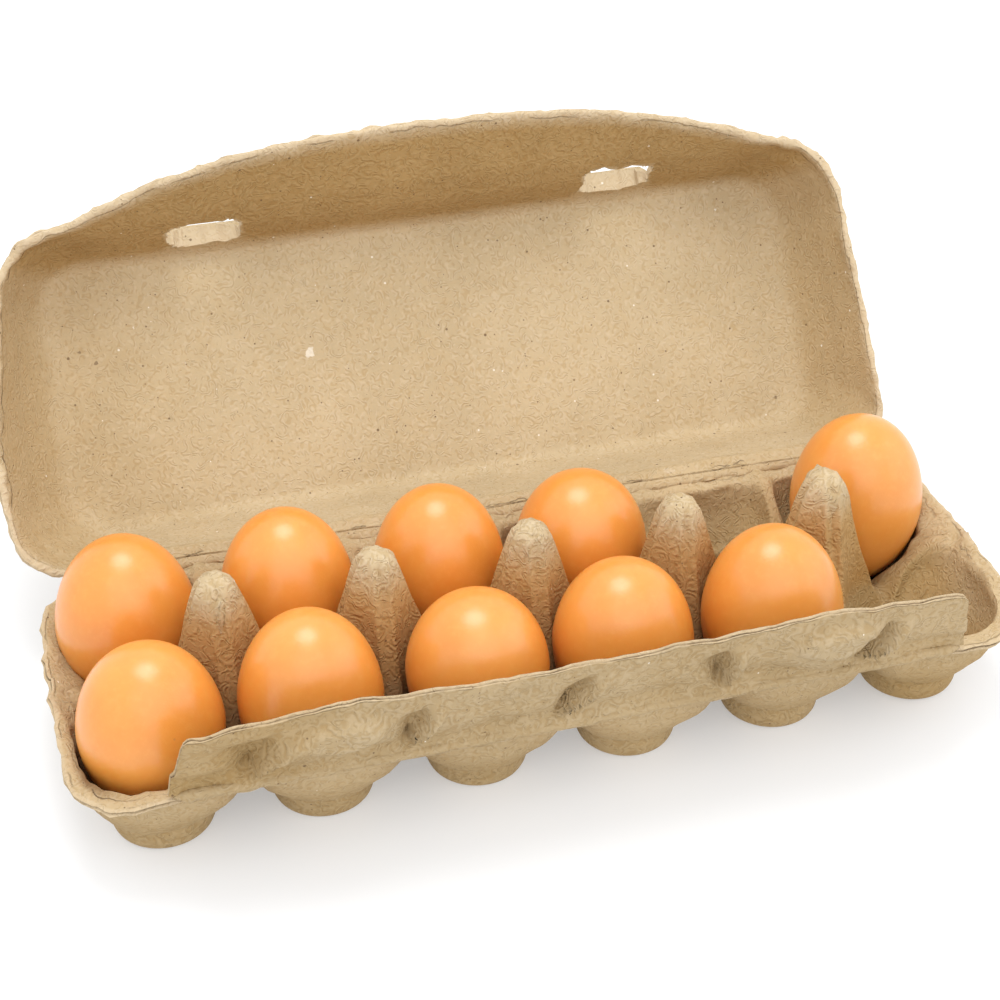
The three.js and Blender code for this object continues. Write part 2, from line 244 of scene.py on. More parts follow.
def add_sheet(name, points):
    """A grid laid through rows of points, given as (rows, columns, xyz) in carton millimetres."""
    rows, columns = points.shape[:2]
    bpy.ops.object.select_all(action="DESELECT")
    bpy.ops.mesh.primitive_grid_add(x_subdivisions=columns - 1, y_subdivisions=rows - 1, size=1)
    sheet = bpy.context.active_object
    sheet.name = name
    if len(sheet.data.vertices) != rows * columns:
        raise RuntimeError(f"{name}: the grid has {len(sheet.data.vertices)} points")
    set_points(sheet, points.reshape(-1, 3))
    return sheet


def join(name, objects):
    """Joins pieces of one moulding and welds their shared edges, faces outward."""
    select_only(*objects)
    bpy.ops.object.join()
    whole = bpy.context.active_object
    whole.name = name
    whole.data.name = name
    with editing(whole):
        bpy.ops.mesh.remove_doubles(threshold=WELD * MM)
        bpy.ops.mesh.normals_make_consistent(inside=False)
        bpy.ops.mesh.select_all(action="DESELECT")
    return whole


def face_away_from(obj, wanted):
    """Turns the sheet over if most of it faces against the wanted direction."""
    normals = get_normals(obj)
    if (normals @ np.asarray(wanted, float)).mean() < 0:
        with editing(obj):
            bpy.ops.mesh.flip_normals()


def thicken(obj, thickness, inside_only=()):
    """Gives a sheet its wall behind its faces. The rim's faces get the second slot for now.
    Of the tones named in inside_only, the new side keeps little."""
    inside = len(obj.data.vertices)
    select_only(obj)
    obj.vertex_groups.new(name="under")
    while len(obj.material_slots) < 2:
        bpy.ops.object.material_slot_add()
    solid = obj.modifiers.new("Pulp wall", "SOLIDIFY")
    solid.thickness = thickness * MM
    solid.offset = -1
    solid.use_even_offset = False
    solid.use_quality_normals = True
    solid.use_rim = True
    solid.material_offset_rim = 1
    solid.shell_vertex_group = "under"
    bpy.ops.object.modifier_apply(modifier=solid.name)
    for name in inside_only:
        values = read(obj, name)
        values[inside:] *= OUTSIDE_TONE
        store(obj, name, values)


def fray_rim(obj, bulge, groove, ragged, seed):
    """Swells the cut edge into two torn plies with a crack between them."""
    mesh = obj.data
    faces_at = {}
    for face in mesh.polygons:
        if face.material_index == 1:
            for key in face.edge_keys:
                faces_at[key] = faces_at.get(key, 0) + 1
    with editing(obj, "DESELECT"):
        bpy.ops.mesh.select_mode(type="EDGE")
    for edge in mesh.edges:
        edge.select = faces_at.get(edge.key, 0) == 2
    before = len(mesh.vertices)
    with editing(obj, None):
        bpy.ops.mesh.subdivide(number_cuts=RIM_CUTS)
        bpy.ops.mesh.select_all(action="DESELECT")
        bpy.ops.mesh.select_mode(type="VERT")
    points, normals = get_points(obj), get_normals(obj)
    added = np.arange(len(mesh.vertices)) >= before
    group = obj.vertex_groups["under"].index
    across = np.array([
        next((g.weight for g in vertex.groups if g.group == group), 0.0)
        for vertex in mesh.vertices
    ])
    place = across + 0.10 * lumps(points, 6, seed)
    crack = hump(place, 0.42, 0.13) * added
    swell = bulge * np.sin(np.pi * np.clip(across, 0, 1)) ** 0.5
    tear = ragged * uneven(points, (1, 2.6, seed + 1), (0.6, 1.3, seed + 2))
    out = (swell - groove * crack + tear * np.clip(4 * across * (1 - across), 0, 1)) * added
    set_points(obj, points + normals * out[:, None])
    # Where the crack lies, for the material to paint its shade
    store(obj, "crack", crack)
    store(obj, "rim", np.where(added, 0.0, read(obj, "rim")))
    obj.vertex_groups.clear()
    for face in mesh.polygons:
        face.material_index = 0


def finish_piece(obj, body, slot, material, *nodes, smooth_angle=60):
    """Smooth shading, one material, and its place in the frame."""
    obj.data.materials.clear()
    obj.data.materials.append(material)
    select_only(obj)
    bpy.ops.object.shade_smooth_by_angle(angle=math.radians(smooth_angle))
    if body:
        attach(obj, body)
    if nodes:
        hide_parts(*nodes)


# ---------------------------------------------------------------- materials


def new_material(name):
    material = bpy.data.materials.new(name)
    material.use_nodes = True
    tree = material.node_tree
    tree.nodes.clear()
    output = tree.nodes.new("ShaderNodeOutputMaterial")
    shader = tree.nodes.new("ShaderNodeBsdfPrincipled")
    tree.links.new(shader.outputs["BSDF"], output.inputs["Surface"])
    return material, tree, shader


def put(tree, socket, value):
    """Joins an output to a socket, or sets the socket's own value."""
    if isinstance(value, bpy.types.NodeSocket):
        tree.links.new(value, socket)
    elif value is not None:
        socket.default_value = value


def noise(tree, vector, scale, detail=2.0, rough=0.5, distortion=0.0):
    """A cloudy pattern with that many patches to the metre."""
    node = tree.nodes.new("ShaderNodeTexNoise")
    put(tree, node.inputs["Vector"], vector)
    put(tree, node.inputs["Scale"], scale)
    put(tree, node.inputs["Detail"], detail)
    put(tree, node.inputs["Roughness"], rough)
    put(tree, node.inputs["Distortion"], distortion)
    return node.outputs["Fac"]


def calc(tree, what, a, b=None, c=None):
    node = tree.nodes.new("ShaderNodeMath")
    node.operation = what
    for socket, value in zip(node.inputs, (a, b, c)):
        put(tree, socket, value)
    return node.outputs[0]


def ramp(tree, value, low, high, to_low=0.0, to_high=1.0):
    """Goes softly from to_low, where the value is low, to to_high, where it is high."""
    node = tree.nodes.new("ShaderNodeMapRange")
    node.interpolation_type = "SMOOTHSTEP"
    for socket, number in zip(node.inputs, (value, low, high, to_low, to_high)):
        put(tree, socket, number)
    return node.outputs["Result"]


def rgba(colour):
    return (*colour[:3], 1.0)


def blend_colour(tree, share, a, b, how="MIX"):
    """Mixes the colour b into a, or multiplies a by it. a is a socket or a plain colour."""
    node = tree.nodes.new("ShaderNodeMix")
    node.data_type = "RGBA"
    node.blend_type = how
    put(tree, node.inputs[0], share)
    put(tree, node.inputs[6], a if isinstance(a, bpy.types.NodeSocket) else rgba(a))
    put(tree, node.inputs[7], rgba(b))
    return node.outputs[2]


def attribute(tree, name):
    node = tree.nodes.new("ShaderNodeAttribute")
    node.attribute_name = name
    return node.outputs["Fac"]


def object_place(tree, shift=(0, 0, 0)):
    coordinates = tree.nodes.new("ShaderNodeTexCoord")
    mapping = tree.nodes.new("ShaderNodeMapping")
    put(tree, mapping.inputs["Vector"], coordinates.outputs["Object"])
    put(tree, mapping.inputs["Location"], shift)
    return mapping.outputs["Vector"]


def vector_calc(tree, what, a, b=None, output="Vector"):
    node = tree.nodes.new("ShaderNodeVectorMath")
    node.operation = what
    put(tree, node.inputs[0], a)
    put(tree, node.inputs[1], b)
    return node.outputs[output]


CONTOURS = 46.0


def strokes(tree, shift, scale):
    """Short curved fibres under the surface: broken stretches of a smooth field's contours."""
    place = object_place(tree, shift)
    field = noise(tree, place, scale, 1.0, 0.4)
    wave = calc(tree, "SINE", calc(tree, "MULTIPLY", field, CONTOURS))
    parts = noise(tree, object_place(tree, (shift[1], shift[2], shift[0])), scale * 2.4, 0.0)
    return calc(tree, "MULTIPLY", wave, ramp(tree, parts, 0.43, 0.53))


def spot(tree, place, at, radius):
    """One uneven fleck at its own place on the carton."""
    off = vector_calc(tree, "SUBTRACT", place, tuple(in_frame(at)))
    size = vector_calc(tree, "LENGTH", off, None, "Value")
    ragged = calc(tree, "SUBTRACT", noise(tree, place, 600.0, 2.0), 0.5)
    size = calc(tree, "MULTIPLY_ADD", ragged, radius * MM * 2.4, size)
    return ramp(tree, size, radius * MM * 0.6, radius * MM, 0.8, 0.0)


def specks(tree, vector, scale, size, share):
    """Small dots in some of the cells of a pattern."""
    node = tree.nodes.new("ShaderNodeTexVoronoi")
    put(tree, node.inputs["Vector"], vector)
    put(tree, node.inputs["Scale"], scale)
    split = tree.nodes.new("ShaderNodeSeparateColor")
    put(tree, split.inputs[0], node.outputs["Color"])
    chosen = calc(tree, "LESS_THAN", split.outputs[0], share)
    reach = calc(tree, "MULTIPLY_ADD", split.outputs[1], size * 0.8, size * 0.4)
    dot = calc(tree, "LESS_THAN", node.outputs["Distance"], reach)
    return calc(tree, "MULTIPLY", chosen, dot)


def bump(tree, height, distance, strength):
    node = tree.nodes.new("ShaderNodeBump")
    put(tree, node.inputs["Height"], height)
    put(tree, node.inputs["Distance"], distance)
    put(tree, node.inputs["Strength"], strength)
    return node.outputs["Normal"]


def pulp_ground(tree, look, place, mottle, grain, fibres):
    """Colour of the pulp: clouds, mottling, grain, and fibres paler than the pulp between them,
    with painted shade in the hollows beside the fibres.
    """
    clouds = noise(tree, place, 24.0, 3.0, 0.55)
    colour = blend_colour(tree, ramp(tree, clouds, 0.34, 0.66), look.pulp_dark, look.pulp_light)
    colour = blend_colour(tree, ramp(tree, mottle, 0.40, 0.70, 0.0, 0.45), colour, look.pulp_warm)
    colour = blend_colour(tree, ramp(tree, grain, 0.35, 0.70, 0.0, 0.16), colour, look.pulp_grey)
    on_fibre = ramp(tree, fibres, 0.1, 1.0, 0.0, 0.30)
    # Painted shade: the hollows between the raised fibres take the shade tint
    between = ramp(tree, fibres, -0.1, -1.0, 0.0, 0.32)
    colour = blend_colour(tree, on_fibre, colour, look.pulp_cream)
    return blend_colour(tree, between, colour, look.deep, "MULTIPLY")


def thin_line(tree, value, width):
    """1 where the value is 0, and 0 where it is further off than the width."""
    return ramp(tree, calc(tree, "ABSOLUTE", value), 0.0, width, 1.0, 0.0)


def torn_edges(tree, place):
    """What the torn rims bring: how cream they are, partly as a painted highlight, how much painted
    shade lies in their cracks, and how deep in folds.
    """
    rim = attribute(tree, "rim")
    wander = calc(tree, "SUBTRACT", noise(tree, place, 170.0, 2.0), 0.5)
    parts = noise(tree, place, 70.0, 1.0)
    # Painted shade: a thin broken line close behind the edge, and a few open cracks further in
    near = calc(tree, "SUBTRACT", calc(tree, "MULTIPLY_ADD", wander, 1.8, rim), 1.0)
    line = calc(tree, "MULTIPLY", thin_line(tree, near, 0.30),
                ramp(tree, parts, 0.44, 0.52, 0.0, 0.55))
    far = calc(tree, "SUBTRACT", calc(tree, "MULTIPLY_ADD", wander, 5.0, rim), 3.6)
    open_part = calc(tree, "MULTIPLY", ramp(tree, parts, 0.47, 0.42), attribute(tree, "folds"))
    open_crack = calc(tree, "MULTIPLY", thin_line(tree, far, 0.34), open_part)
    fold = calc(tree, "MAXIMUM", line, open_crack)
    # Paler torn fibres along the edge, partly a painted highlight
    cream = ramp(tree, calc(tree, "MULTIPLY_ADD", wander, 1.5, rim), 0.3, 1.2, 0.35, 0.0)
    # Painted shade in the cracks between the plies and along the creases
    crack = ramp(tree, attribute(tree, "crack"), 0.25, 0.9, 0.0, 0.85)
    crack = calc(tree, "MULTIPLY", crack, ramp(tree, parts, 0.38, 0.55, 0.35, 1.0))
    crack = calc(tree, "MAXIMUM", crack, calc(tree, "MULTIPLY", fold, 0.8))
    return cream, crack, fold


def pulp_specks(tree, place, flecks):
    """Dark and pale specks all over, and the flecks that have places of their own."""
    dark = calc(tree, "MAXIMUM", specks(tree, place, 300.0, 0.13, 0.10),
                specks(tree, place, 620.0, 0.17, 0.09))
    pale = specks(tree, object_place(tree, (0.2, 0.9, 0.5)), 330.0, 0.12, 0.05)
    for at, radius, is_pale in flecks:
        fleck = spot(tree, object_place(tree), at, radius)
        if is_pale:
            pale = calc(tree, "MAXIMUM", pale, fleck)
        else:
            dark = calc(tree, "MAXIMUM", dark, fleck)
    return calc(tree, "MULTIPLY", dark, 0.75), calc(tree, "MULTIPLY", pale, 0.65)


def make_pulp(name, look, relief=1.0, shade=1.0, flecks=()):
    """Moulded pulp: mottled greyish tan with short fibres, dark specks and torn cream edges, with
    painted shade and painted light read from each piece's attributes.
    """
    material, tree, shader = new_material(name)
    place = object_place(tree, (0.37, 0.11, 0.23))
    mottle = noise(tree, place, 130.0, 4.0, 0.6, 0.4)
    grain = noise(tree, place, 1100.0, 2.0, 0.6)
    swirl = attribute(tree, "swirl")
    small = strokes(tree, (0.81, 0.45, 0.67), 250.0)
    large = calc(tree, "MULTIPLY", strokes(tree, (0.22, 0.74, 0.95), 135.0), swirl)
    fibres = calc(tree, "MULTIPLY_ADD", large, 1.6, small)
    colour = pulp_ground(tree, look, place, mottle, grain, fibres)
    # Painted shade: the whole piece made darker
    if shade != 1.0:
        colour = blend_colour(tree, 1.0, colour, (shade, shade, shade), "MULTIPLY")
    # Painted shade in cups, corners, dents and gaps, painted light on the posts' tops, and the
    # eggs' warm reflected light, painted
    for tone in ("deep", "egg_bounce_light", "gap"):
        colour = blend_colour(tree, attribute(tree, tone), colour, getattr(look, tone), "MULTIPLY")
    cream, crack, fold = torn_edges(tree, place)
    dark, pale = pulp_specks(tree, place, flecks)
    for share, its_colour in ((cream, look.pulp_cream), (crack, look.crack), (dark, look.speck),
                              (pale, look.fleck)):
        colour = blend_colour(tree, share, colour, its_colour)
    put(tree, shader.inputs["Base Color"], colour)
    shader.inputs["Roughness"].default_value = 0.82
    shader.inputs["Specular IOR Level"].default_value = 0.22
    height = calc(tree, "MULTIPLY", large, 0.30)
    small_height = calc(tree, "MULTIPLY_ADD", swirl, 0.10, 0.13)
    for layer, amount in ((small, small_height), (fold, -0.8), (grain, 0.12), (mottle, 0.55)):
        height = calc(tree, "MULTIPLY_ADD", layer, amount, height)
    put(tree, shader.inputs["Normal"], bump(tree, height, 0.00050 * relief, 0.9))
    return material


def make_shell(name, look, tint, shift):
    """Brown eggshell: a soft satin gloss, faint clouds of colour, fine pores."""
    material, tree, shader = new_material(name)
    place = object_place(tree, shift)
    clouds = noise(tree, place, 45.0, 3.0, 0.55)
    freckle = noise(tree, place, 420.0, 2.0, 0.6)
    colour = blend_colour(tree, ramp(tree, clouds, 0.3, 0.72), look.shell, look.shell_deep)
    paler = ramp(tree, freckle, 0.45, 0.75, 0.0, 0.22)
    colour = blend_colour(tree, paler, colour, look.shell_light)
    dots = calc(tree, "MULTIPLY", specks(tree, place, 150.0, 0.075, 0.06), 0.5)
    colour = blend_colour(tree, dots, colour, look.shell_dot)
    colour = blend_colour(tree, 1.0, colour, tint, "MULTIPLY")
    put(tree, shader.inputs["Base Color"], colour)
    shader.inputs["Roughness"].default_value = 0.30
    shader.inputs["Subsurface Weight"].default_value = 0.3
    shader.inputs["Subsurface Radius"].default_value = (1.0, 0.35, 0.12)
    shader.inputs["Subsurface Scale"].default_value = 0.014
    shader.inputs["Specular IOR Level"].default_value = 0.75
    pores = noise(tree, place, 1500.0, 1.0, 0.5)
    put(tree, shader.inputs["Normal"], bump(tree, pores, 0.00006, 0.5))
    return material


# ---------------------------------------------------------------- tray

# Where the points of a cell's outline lie, closer together by a post: along the row from the
# ridge between two columns, and across from the line between the rows
AWAY_X = np.array([0, 1.5, 3, 4.5, 6, 7.5, 9.5, 11.5, 13.5, 16, 18.5, 21.2, 24])
AWAY_Y = np.array([0, 1.5, 3, 4.5, 6, 7.5, 9.5, 11.5, 13.5, 16, 19, 21.8, 24.55,
                   27.5, 30.8, 34.4, 38, 41.6, 45.2, 48.8])
ON_LINE = 0.1  # a point nearer than this counts as on the rim or on the line between the rows


def cup_middle(column, row):
    """Columns are counted from the left, and row 0 is the front one."""
    return np.array([(column - (COLUMNS - 1) / 2) * CELL_X, (row - 0.5) * CELL_Y])


def rim_height(x, y):
    """The rim is highest in front, and goes over to its height at the ends near the corners."""
    along = np.where(y < 0, FRONT_RIM_Z, BACK_RIM_Z)
    to_end = smooth(np.abs(x), END_RIM_X - 34, END_RIM_X - 8)
    end = END_RIM_Z - 1.9 * smooth(y, -12, 10) * (x > 0)
    return along + (end - along) * to_end


def web_height(x):
    """Height of the flat web that rises from between the two end cups to the rim."""
    share = np.clip((np.abs(x) - LAST_CUP_X) / (END_RIM_X - LAST_CUP_X), 0, 1)
    return CENTRE_SADDLE_Z + (END_RIM_Z - CENTRE_SADDLE_Z) * share ** 0.92


def edge_height(x, y):
    """Height of the tray where cups meet and along its rim."""
    rim_y = np.where(y < 0, -FRONT_RIM_Y, BACK_RIM_Y)
    on_rim = (np.abs(x) > END_RIM_X - ON_LINE) | (np.abs(y) > rim_y - ON_LINE)
    beside_post = np.interp(np.abs(x - CELL_X * np.round(x / CELL_X)), POST_AWAY, POST_ALONG)
    middle = np.where(np.abs(x) > LAST_CUP_X, web_height(x), beside_post)
    across = np.interp(np.abs(y), POST_AWAY, POST_ACROSS)
    to_rim = smooth(np.abs(y), CELL_Y / 2, CELL_Y / 2 + 20)
    across = across + (rim_height(x, y) - across) * to_rim
    return np.where(on_rim, rim_height(x, y), np.where(np.abs(y) < ON_LINE, middle, across))


def round_corner(x, y):
    """A point near the rim's square corner moves onto the round one."""
    limit_x = END_RIM_X - CORNER_RADIUS
    limit_y = np.where(y < 0, -FRONT_RIM_Y, BACK_RIM_Y) - CORNER_RADIUS
    over = np.stack([np.abs(x) - limit_x, np.abs(y) - limit_y], -1)
    inside = (over > 0).all(-1)
    size = np.maximum(np.linalg.norm(over, axis=-1), 1e-6)
    over = over * (CORNER_RADIUS / size)[:, None]
    x = np.where(inside, np.sign(x) * (limit_x + over[:, 0]), x)
    y = np.where(inside, np.sign(y) * (limit_y + over[:, 1]), y)
    return x, y


def cell_outline(column, row):
    """Points round one cup's cell, anticlockwise from above."""
    centre = cup_middle(column, row)[0]
    west = -END_RIM_X if column == 0 else centre - CELL_X / 2
    east = END_RIM_X if column == COLUMNS - 1 else centre + CELL_X / 2
    share = AWAY_X / AWAY_X[-1]
    xs = np.concatenate([west + (centre - west) * share, (east + (centre - east) * share)[-2::-1]])
    if row == 0:
        ys = -np.append(AWAY_Y, -FRONT_RIM_Y)[::-1]
    else:
        ys = np.append(AWAY_Y, BACK_RIM_Y)
    x = np.concatenate([xs[:-1], np.full(len(ys) - 1, east), xs[::-1][:-1],
                        np.full(len(ys) - 1, west)])
    y = np.concatenate([np.full(len(xs) - 1, ys[0]), ys[:-1], np.full(len(xs) - 1, ys[-1]),
                        ys[::-1][:-1]])
    z = edge_height(x, y)
    # The ridge between the two end cups lies a little behind the middle
    past_cup = smooth(np.abs(x), LAST_CUP_X + 1, LAST_CUP_X + 8)
    web = past_cup * smooth(END_RIM_X - np.abs(x), 0, 8)
    y = y + 4.6 * web * (np.abs(y) < ON_LINE)
    x, y = round_corner(x, y)
    return np.stack([x, y, z], -1)


def wall_radius(z):
    """How wide a plain round cup is at a height."""
    low = SHOULDER_HIGH[0] + (WALL_KNEE[0] - SHOULDER_HIGH[0]) * (z - SHOULDER_HIGH[1]) / (
        WALL_KNEE[1] - SHOULDER_HIGH[1])
    high = WALL_KNEE[0] + (WALL_TOP[0] - WALL_KNEE[0]) * (z - WALL_KNEE[1]) / (
        WALL_TOP[1] - WALL_KNEE[1])
    return np.where(z < WALL_KNEE[1], low, high)


def mouth_reach(out, column, row):
    """How far the cup's rounded square mouth reaches in each direction from its middle.
    A power of 2 would make it round, and a high one makes it square."""
    last = COLUMNS - 1
    at_end = ((column == last) & (out[:, 0] > 0)) | ((column == 0) & (out[:, 0] < 0))
    to_rim = (out[:, 1] > 0) == (row == 1)
    across = np.where(at_end, MOUTH_END, MOUTH_SIDE)
    along = np.where(to_rim, MOUTH_BACK if row else MOUTH_FRONT, MOUTH_WEB)
    power = np.where(at_end, np.where(to_rim, 2.4, 4.0), 9.0)
    shares = (np.abs(out[:, 0]) / across) ** power + (np.abs(out[:, 1]) / along) ** power
    return shares ** (-1 / power)


def rounded_paths(corners, cuts, straight, curved):
    """Walks many paths at once through their corners, each corner rounded off.
    cuts is how much each corner takes of the lines beside it, straight and curved the points
    laid on each line and round each corner."""
    count = corners.shape[1]
    paths = [corners[:, 0]]
    last = corners[:, 0]
    for i in range(1, count):
        here = corners[:, i]
        if i < count - 1:
            back, ahead = corners[:, i - 1] - here, corners[:, i + 1] - here
            back_size = np.linalg.norm(back, axis=1)
            ahead_size = np.linalg.norm(ahead, axis=1)
            share = 0.97 if i == count - 2 else 0.48
            start = here + back * (np.minimum(cuts[i], 0.48 * back_size) / back_size)[:, None]
            end = here + ahead * (np.minimum(cuts[i], share * ahead_size) / ahead_size)[:, None]
        else:
            start = here
        for k in range(1, straight[i - 1] + 1):
            paths.append(last + (start - last) * k / (straight[i - 1] + 1))
        paths.append(start)
        if i < count - 1:
            for k in range(1, curved[i] + 1):
                t = k / (curved[i] + 1)
                paths.append((1 - t) ** 2 * start + 2 * t * (1 - t) * here + t * t * end)
            paths.append(end)
            last = end
    return np.stack(paths, 1)


def cup_grid(column, row):
    """One cup's upper skin: spokes from the middle of its floor to its cell's outline."""
    centre = cup_middle(column, row)
    outline = cell_outline(column, row)
    out = outline[:, :2] - centre
    reach = np.linalg.norm(out, axis=1)
    out = out / reach[:, None]
    top = outline[:, 2]
    # Between two cups the ridge is sharp low down, rounder up the posts, flat at the two ends
    to_rim = np.minimum(END_RIM_X - np.abs(outline[:, 0]),
                        np.where(row == 0, outline[:, 1] - FRONT_RIM_Y, BACK_RIM_Y - outline[:, 1]))
    inner = smooth(to_rim, 3, 12) * (1 - smooth(top, 20, 30))
    web = smooth(np.abs(outline[:, 0]), 121, 128) * (1 - smooth(np.abs(outline[:, 1] - 3), 9, 18))
    inner *= 1 - 0.9 * web
    # The back cups at the two ends stay round there
    at_end = smooth(np.abs(outline[:, 0]), 122, 132)
    squared = smooth(np.abs(outline[:, 1]), CELL_Y / 2 + 1, CELL_Y / 2 + 12)
    squared = squared * (1 - at_end) if row else np.maximum(squared, at_end)
    mouth = mouth_reach(out, column, row)

    def wall(z):
        plain = wall_radius(z)
        return plain + squared * (mouth - plain) * smooth(z, 12, 31)

    def wall_on_land(z):
        return np.minimum(wall(z), reach - LAND)

    flat = np.maximum(reach - wall(top), LAND)
    corner_z = top - (0.15 * flat + 0.42 * flat * inner)
    edge = centre[0] + out[:, 0] * wall_on_land(top)
    corner_z = corner_z + web * (np.minimum(web_height(edge) - 0.2, top - 0.1) - corner_z)
    knee = np.minimum(WALL_KNEE[1], (SHOULDER_HIGH[1] + corner_z) / 2)
    knee_away = wall(knee)
    # Below the web's edge the front end cup drops steeply at first
    steep = web * (row == 0)
    knee = knee + steep * (np.maximum(corner_z - 6, 13.5) - knee)
    knee_away = knee_away + steep * (wall_on_land(corner_z) - 2.6 - knee_away)
    n = len(outline)
    corners = np.stack([
        np.tile((0.0, FLOOR[1]), (n, 1)),
        np.tile(FLOOR, (n, 1)),
        np.tile(SHOULDER_LOW, (n, 1)),
        np.tile(SHOULDER_HIGH, (n, 1)),
        np.stack([knee_away, knee], -1),
        np.stack([wall_on_land(corner_z), corner_z], -1),
        np.stack([reach, top], -1),
    ], 1)
    rounder = CRISP + (np.clip(flat, CRISP, 6) - CRISP) * smooth(top, 34, 44)
    paths = rounded_paths(
        corners,
        cuts=[0, 0.8, 0.7, 0.9, 4.0, rounder, 0],
        straight=[3, 1, 0, 3, 9, 1],
        curved=[0, 2, 1, 1, 2, 4, 0],
    )
    points = np.empty(paths.shape[:2] + (3,))
    points[..., :2] = centre + out[:, None, :] * paths[..., :1]
    points[..., 2] = paths[..., 1]
    return np.concatenate([points, points[:1]], 0)


def rim_distance(points):
    """How far inside the tray's rim a point is, seen from above."""
    rim_y = np.where(points[:, 1] < 0, -FRONT_RIM_Y, BACK_RIM_Y)
    over = np.stack([np.abs(points[:, 0]) - (END_RIM_X - CORNER_RADIUS),
                     np.abs(points[:, 1]) - (rim_y - CORNER_RADIUS)], -1)
    outside = np.linalg.norm(np.maximum(over, 0), axis=1)
    return CORNER_RADIUS - outside - np.minimum(over.max(1), 0)


def post_distance(points):
    """How far a point is from the axis of the nearest post."""
    nearest = np.clip(np.round(points[:, 0] / CELL_X), -2, 2) * CELL_X
    return np.hypot(points[:, 0] - nearest, points[:, 1])


def soften_posts(tray):
    """Rounds the posts' edges as the wet pulp does, and keeps their height."""
    before = get_points(tray)
    around = (post_distance(before) < 17) & (before[:, 2] > 23)
    with editing(tray, "DESELECT"):
        bpy.ops.mesh.select_mode(type="VERT")
    tray.data.vertices.foreach_set("select", around)
    with editing(tray, None):
        bpy.ops.mesh.vertices_smooth(factor=0.5, repeat=5)
        bpy.ops.mesh.select_all(action="DESELECT")
    points = get_points(tray)
    lost = before[:, 2].max() - points[:, 2].max()
    points[:, 2] += around * lost * smooth(points[:, 2], 40, points[:, 2].max())
    set_points(tray, points)


def ridge_distance(points):
    """How far along the row a point is from the nearest ridge between two columns of cups."""
    return np.abs(points[:, 0] / CELL_X - np.round(points[:, 0] / CELL_X)) * CELL_X


def at_corner(points):
    """1 at the tray's four corners, 0 away from them."""
    return smooth(np.abs(points[:, 0]), 126, 142) * smooth(np.abs(points[:, 1]), 34, 50)


def tray_roughness(points, normals, inside, lumpiness):
    """How far each point of the tray's upper side stands out from the plain shape."""
    off_middle, height = np.abs(points[:, 0]), points[:, 2]
    up_post = smooth(height, 34, 44)
    foot = 1 - smooth(height, 10, 20)
    rough = uneven(points, (0.26, 12, 1), (0.17, 5.2, 2), (0.09, 2.7, 3))
    rough *= smooth(height, 2.0, 6.0) * (1 + 0.9 * up_post + 0.6 * foot) * lumpiness
    # Lumpy edges where the flat webs at the two ends turn down into the cups
    to_end = smooth(off_middle, 122, 130) * smooth(height, 14, 20)
    rough += to_end * uneven(points, (0.2, 7, 12), (0.3, 3.4, 13))
    # A raised torn lip where they turn down, and round the back cup's mouth
    turning = hump(normals[:, 2], 0.84, 0.09) * (points[:, 1] < 6)
    to_cup = np.hypot(off_middle - LAST_CUP_X, points[:, 1] - CELL_Y / 2)
    mouth = hump(to_cup, 22.3, 1.1) * (points[:, 1] < 24)
    lip = np.maximum(0.8 * turning, 1.1 * mouth)
    rough += to_end * lip * (0.7 + 0.9 * lumps(points, 2.8, 18))
    # Crumpled land between the rim and the cups' mouths, and a knob where each ridge meets it
    land = smooth(inside, 2.5, 5) * (1 - smooth(inside, 9, 13)) * smooth(height, 26, 30)
    rough += land * uneven(points, (0.45, 5, 15), (0.35, 2.9, 16))
    knob = hump(ridge_distance(points), 0, 3.2) * hump(inside, 7.5, 4)
    return rough + 1.5 * knob * (off_middle < 110) * (height > 26)


def rim_moves(points, inside):
    """How far the rim wanders in and out and up and down, with a rolled bead along it."""
    near_rim = 1 - smooth(inside, 2, 9)
    corner = at_corner(points)
    flat = points * (1, 1, 0)
    front = points[:, 1] < 0
    to_rim = points[:, 1] / np.where(front, FRONT_RIM_Y, BACK_RIM_Y)
    outward = np.stack([
        np.sign(points[:, 0]) * smooth(np.abs(points[:, 0]), END_RIM_X - 16, END_RIM_X - 2),
        np.where(front, -1, 1) * smooth(to_rim, 0.72, 0.98),
    ], -1)
    wander = near_rim * uneven(flat, (0.6, 9, 4), (0.5, 4, 5)) - 1.2 * near_rim * corner
    moves = np.zeros_like(points)
    moves[:, :2] = outward * wander[:, None] * (1 + corner)[:, None]
    moves[:, 0] += 1.0 * near_rim * smooth(-points[:, 0], 136, 144)
    bead = 0.8 * hump(inside, 1.2, 1.5)
    moves[:, 2] = near_rim * uneven(flat, (0.6, 8, 8), (0.45, 3.6, 9)) + bead
    # The corners' edges roll over and hang down, most of all at the front on the left
    front_left = front * (points[:, 0] < 0)
    hang = (1.0 + 0.8 * front_left) * corner * (1 - smooth(inside, 0, 5 + front_left))
    moves[:, 2] -= hang * (1 + 0.35 * lumps(flat, 5, 14))
    return moves


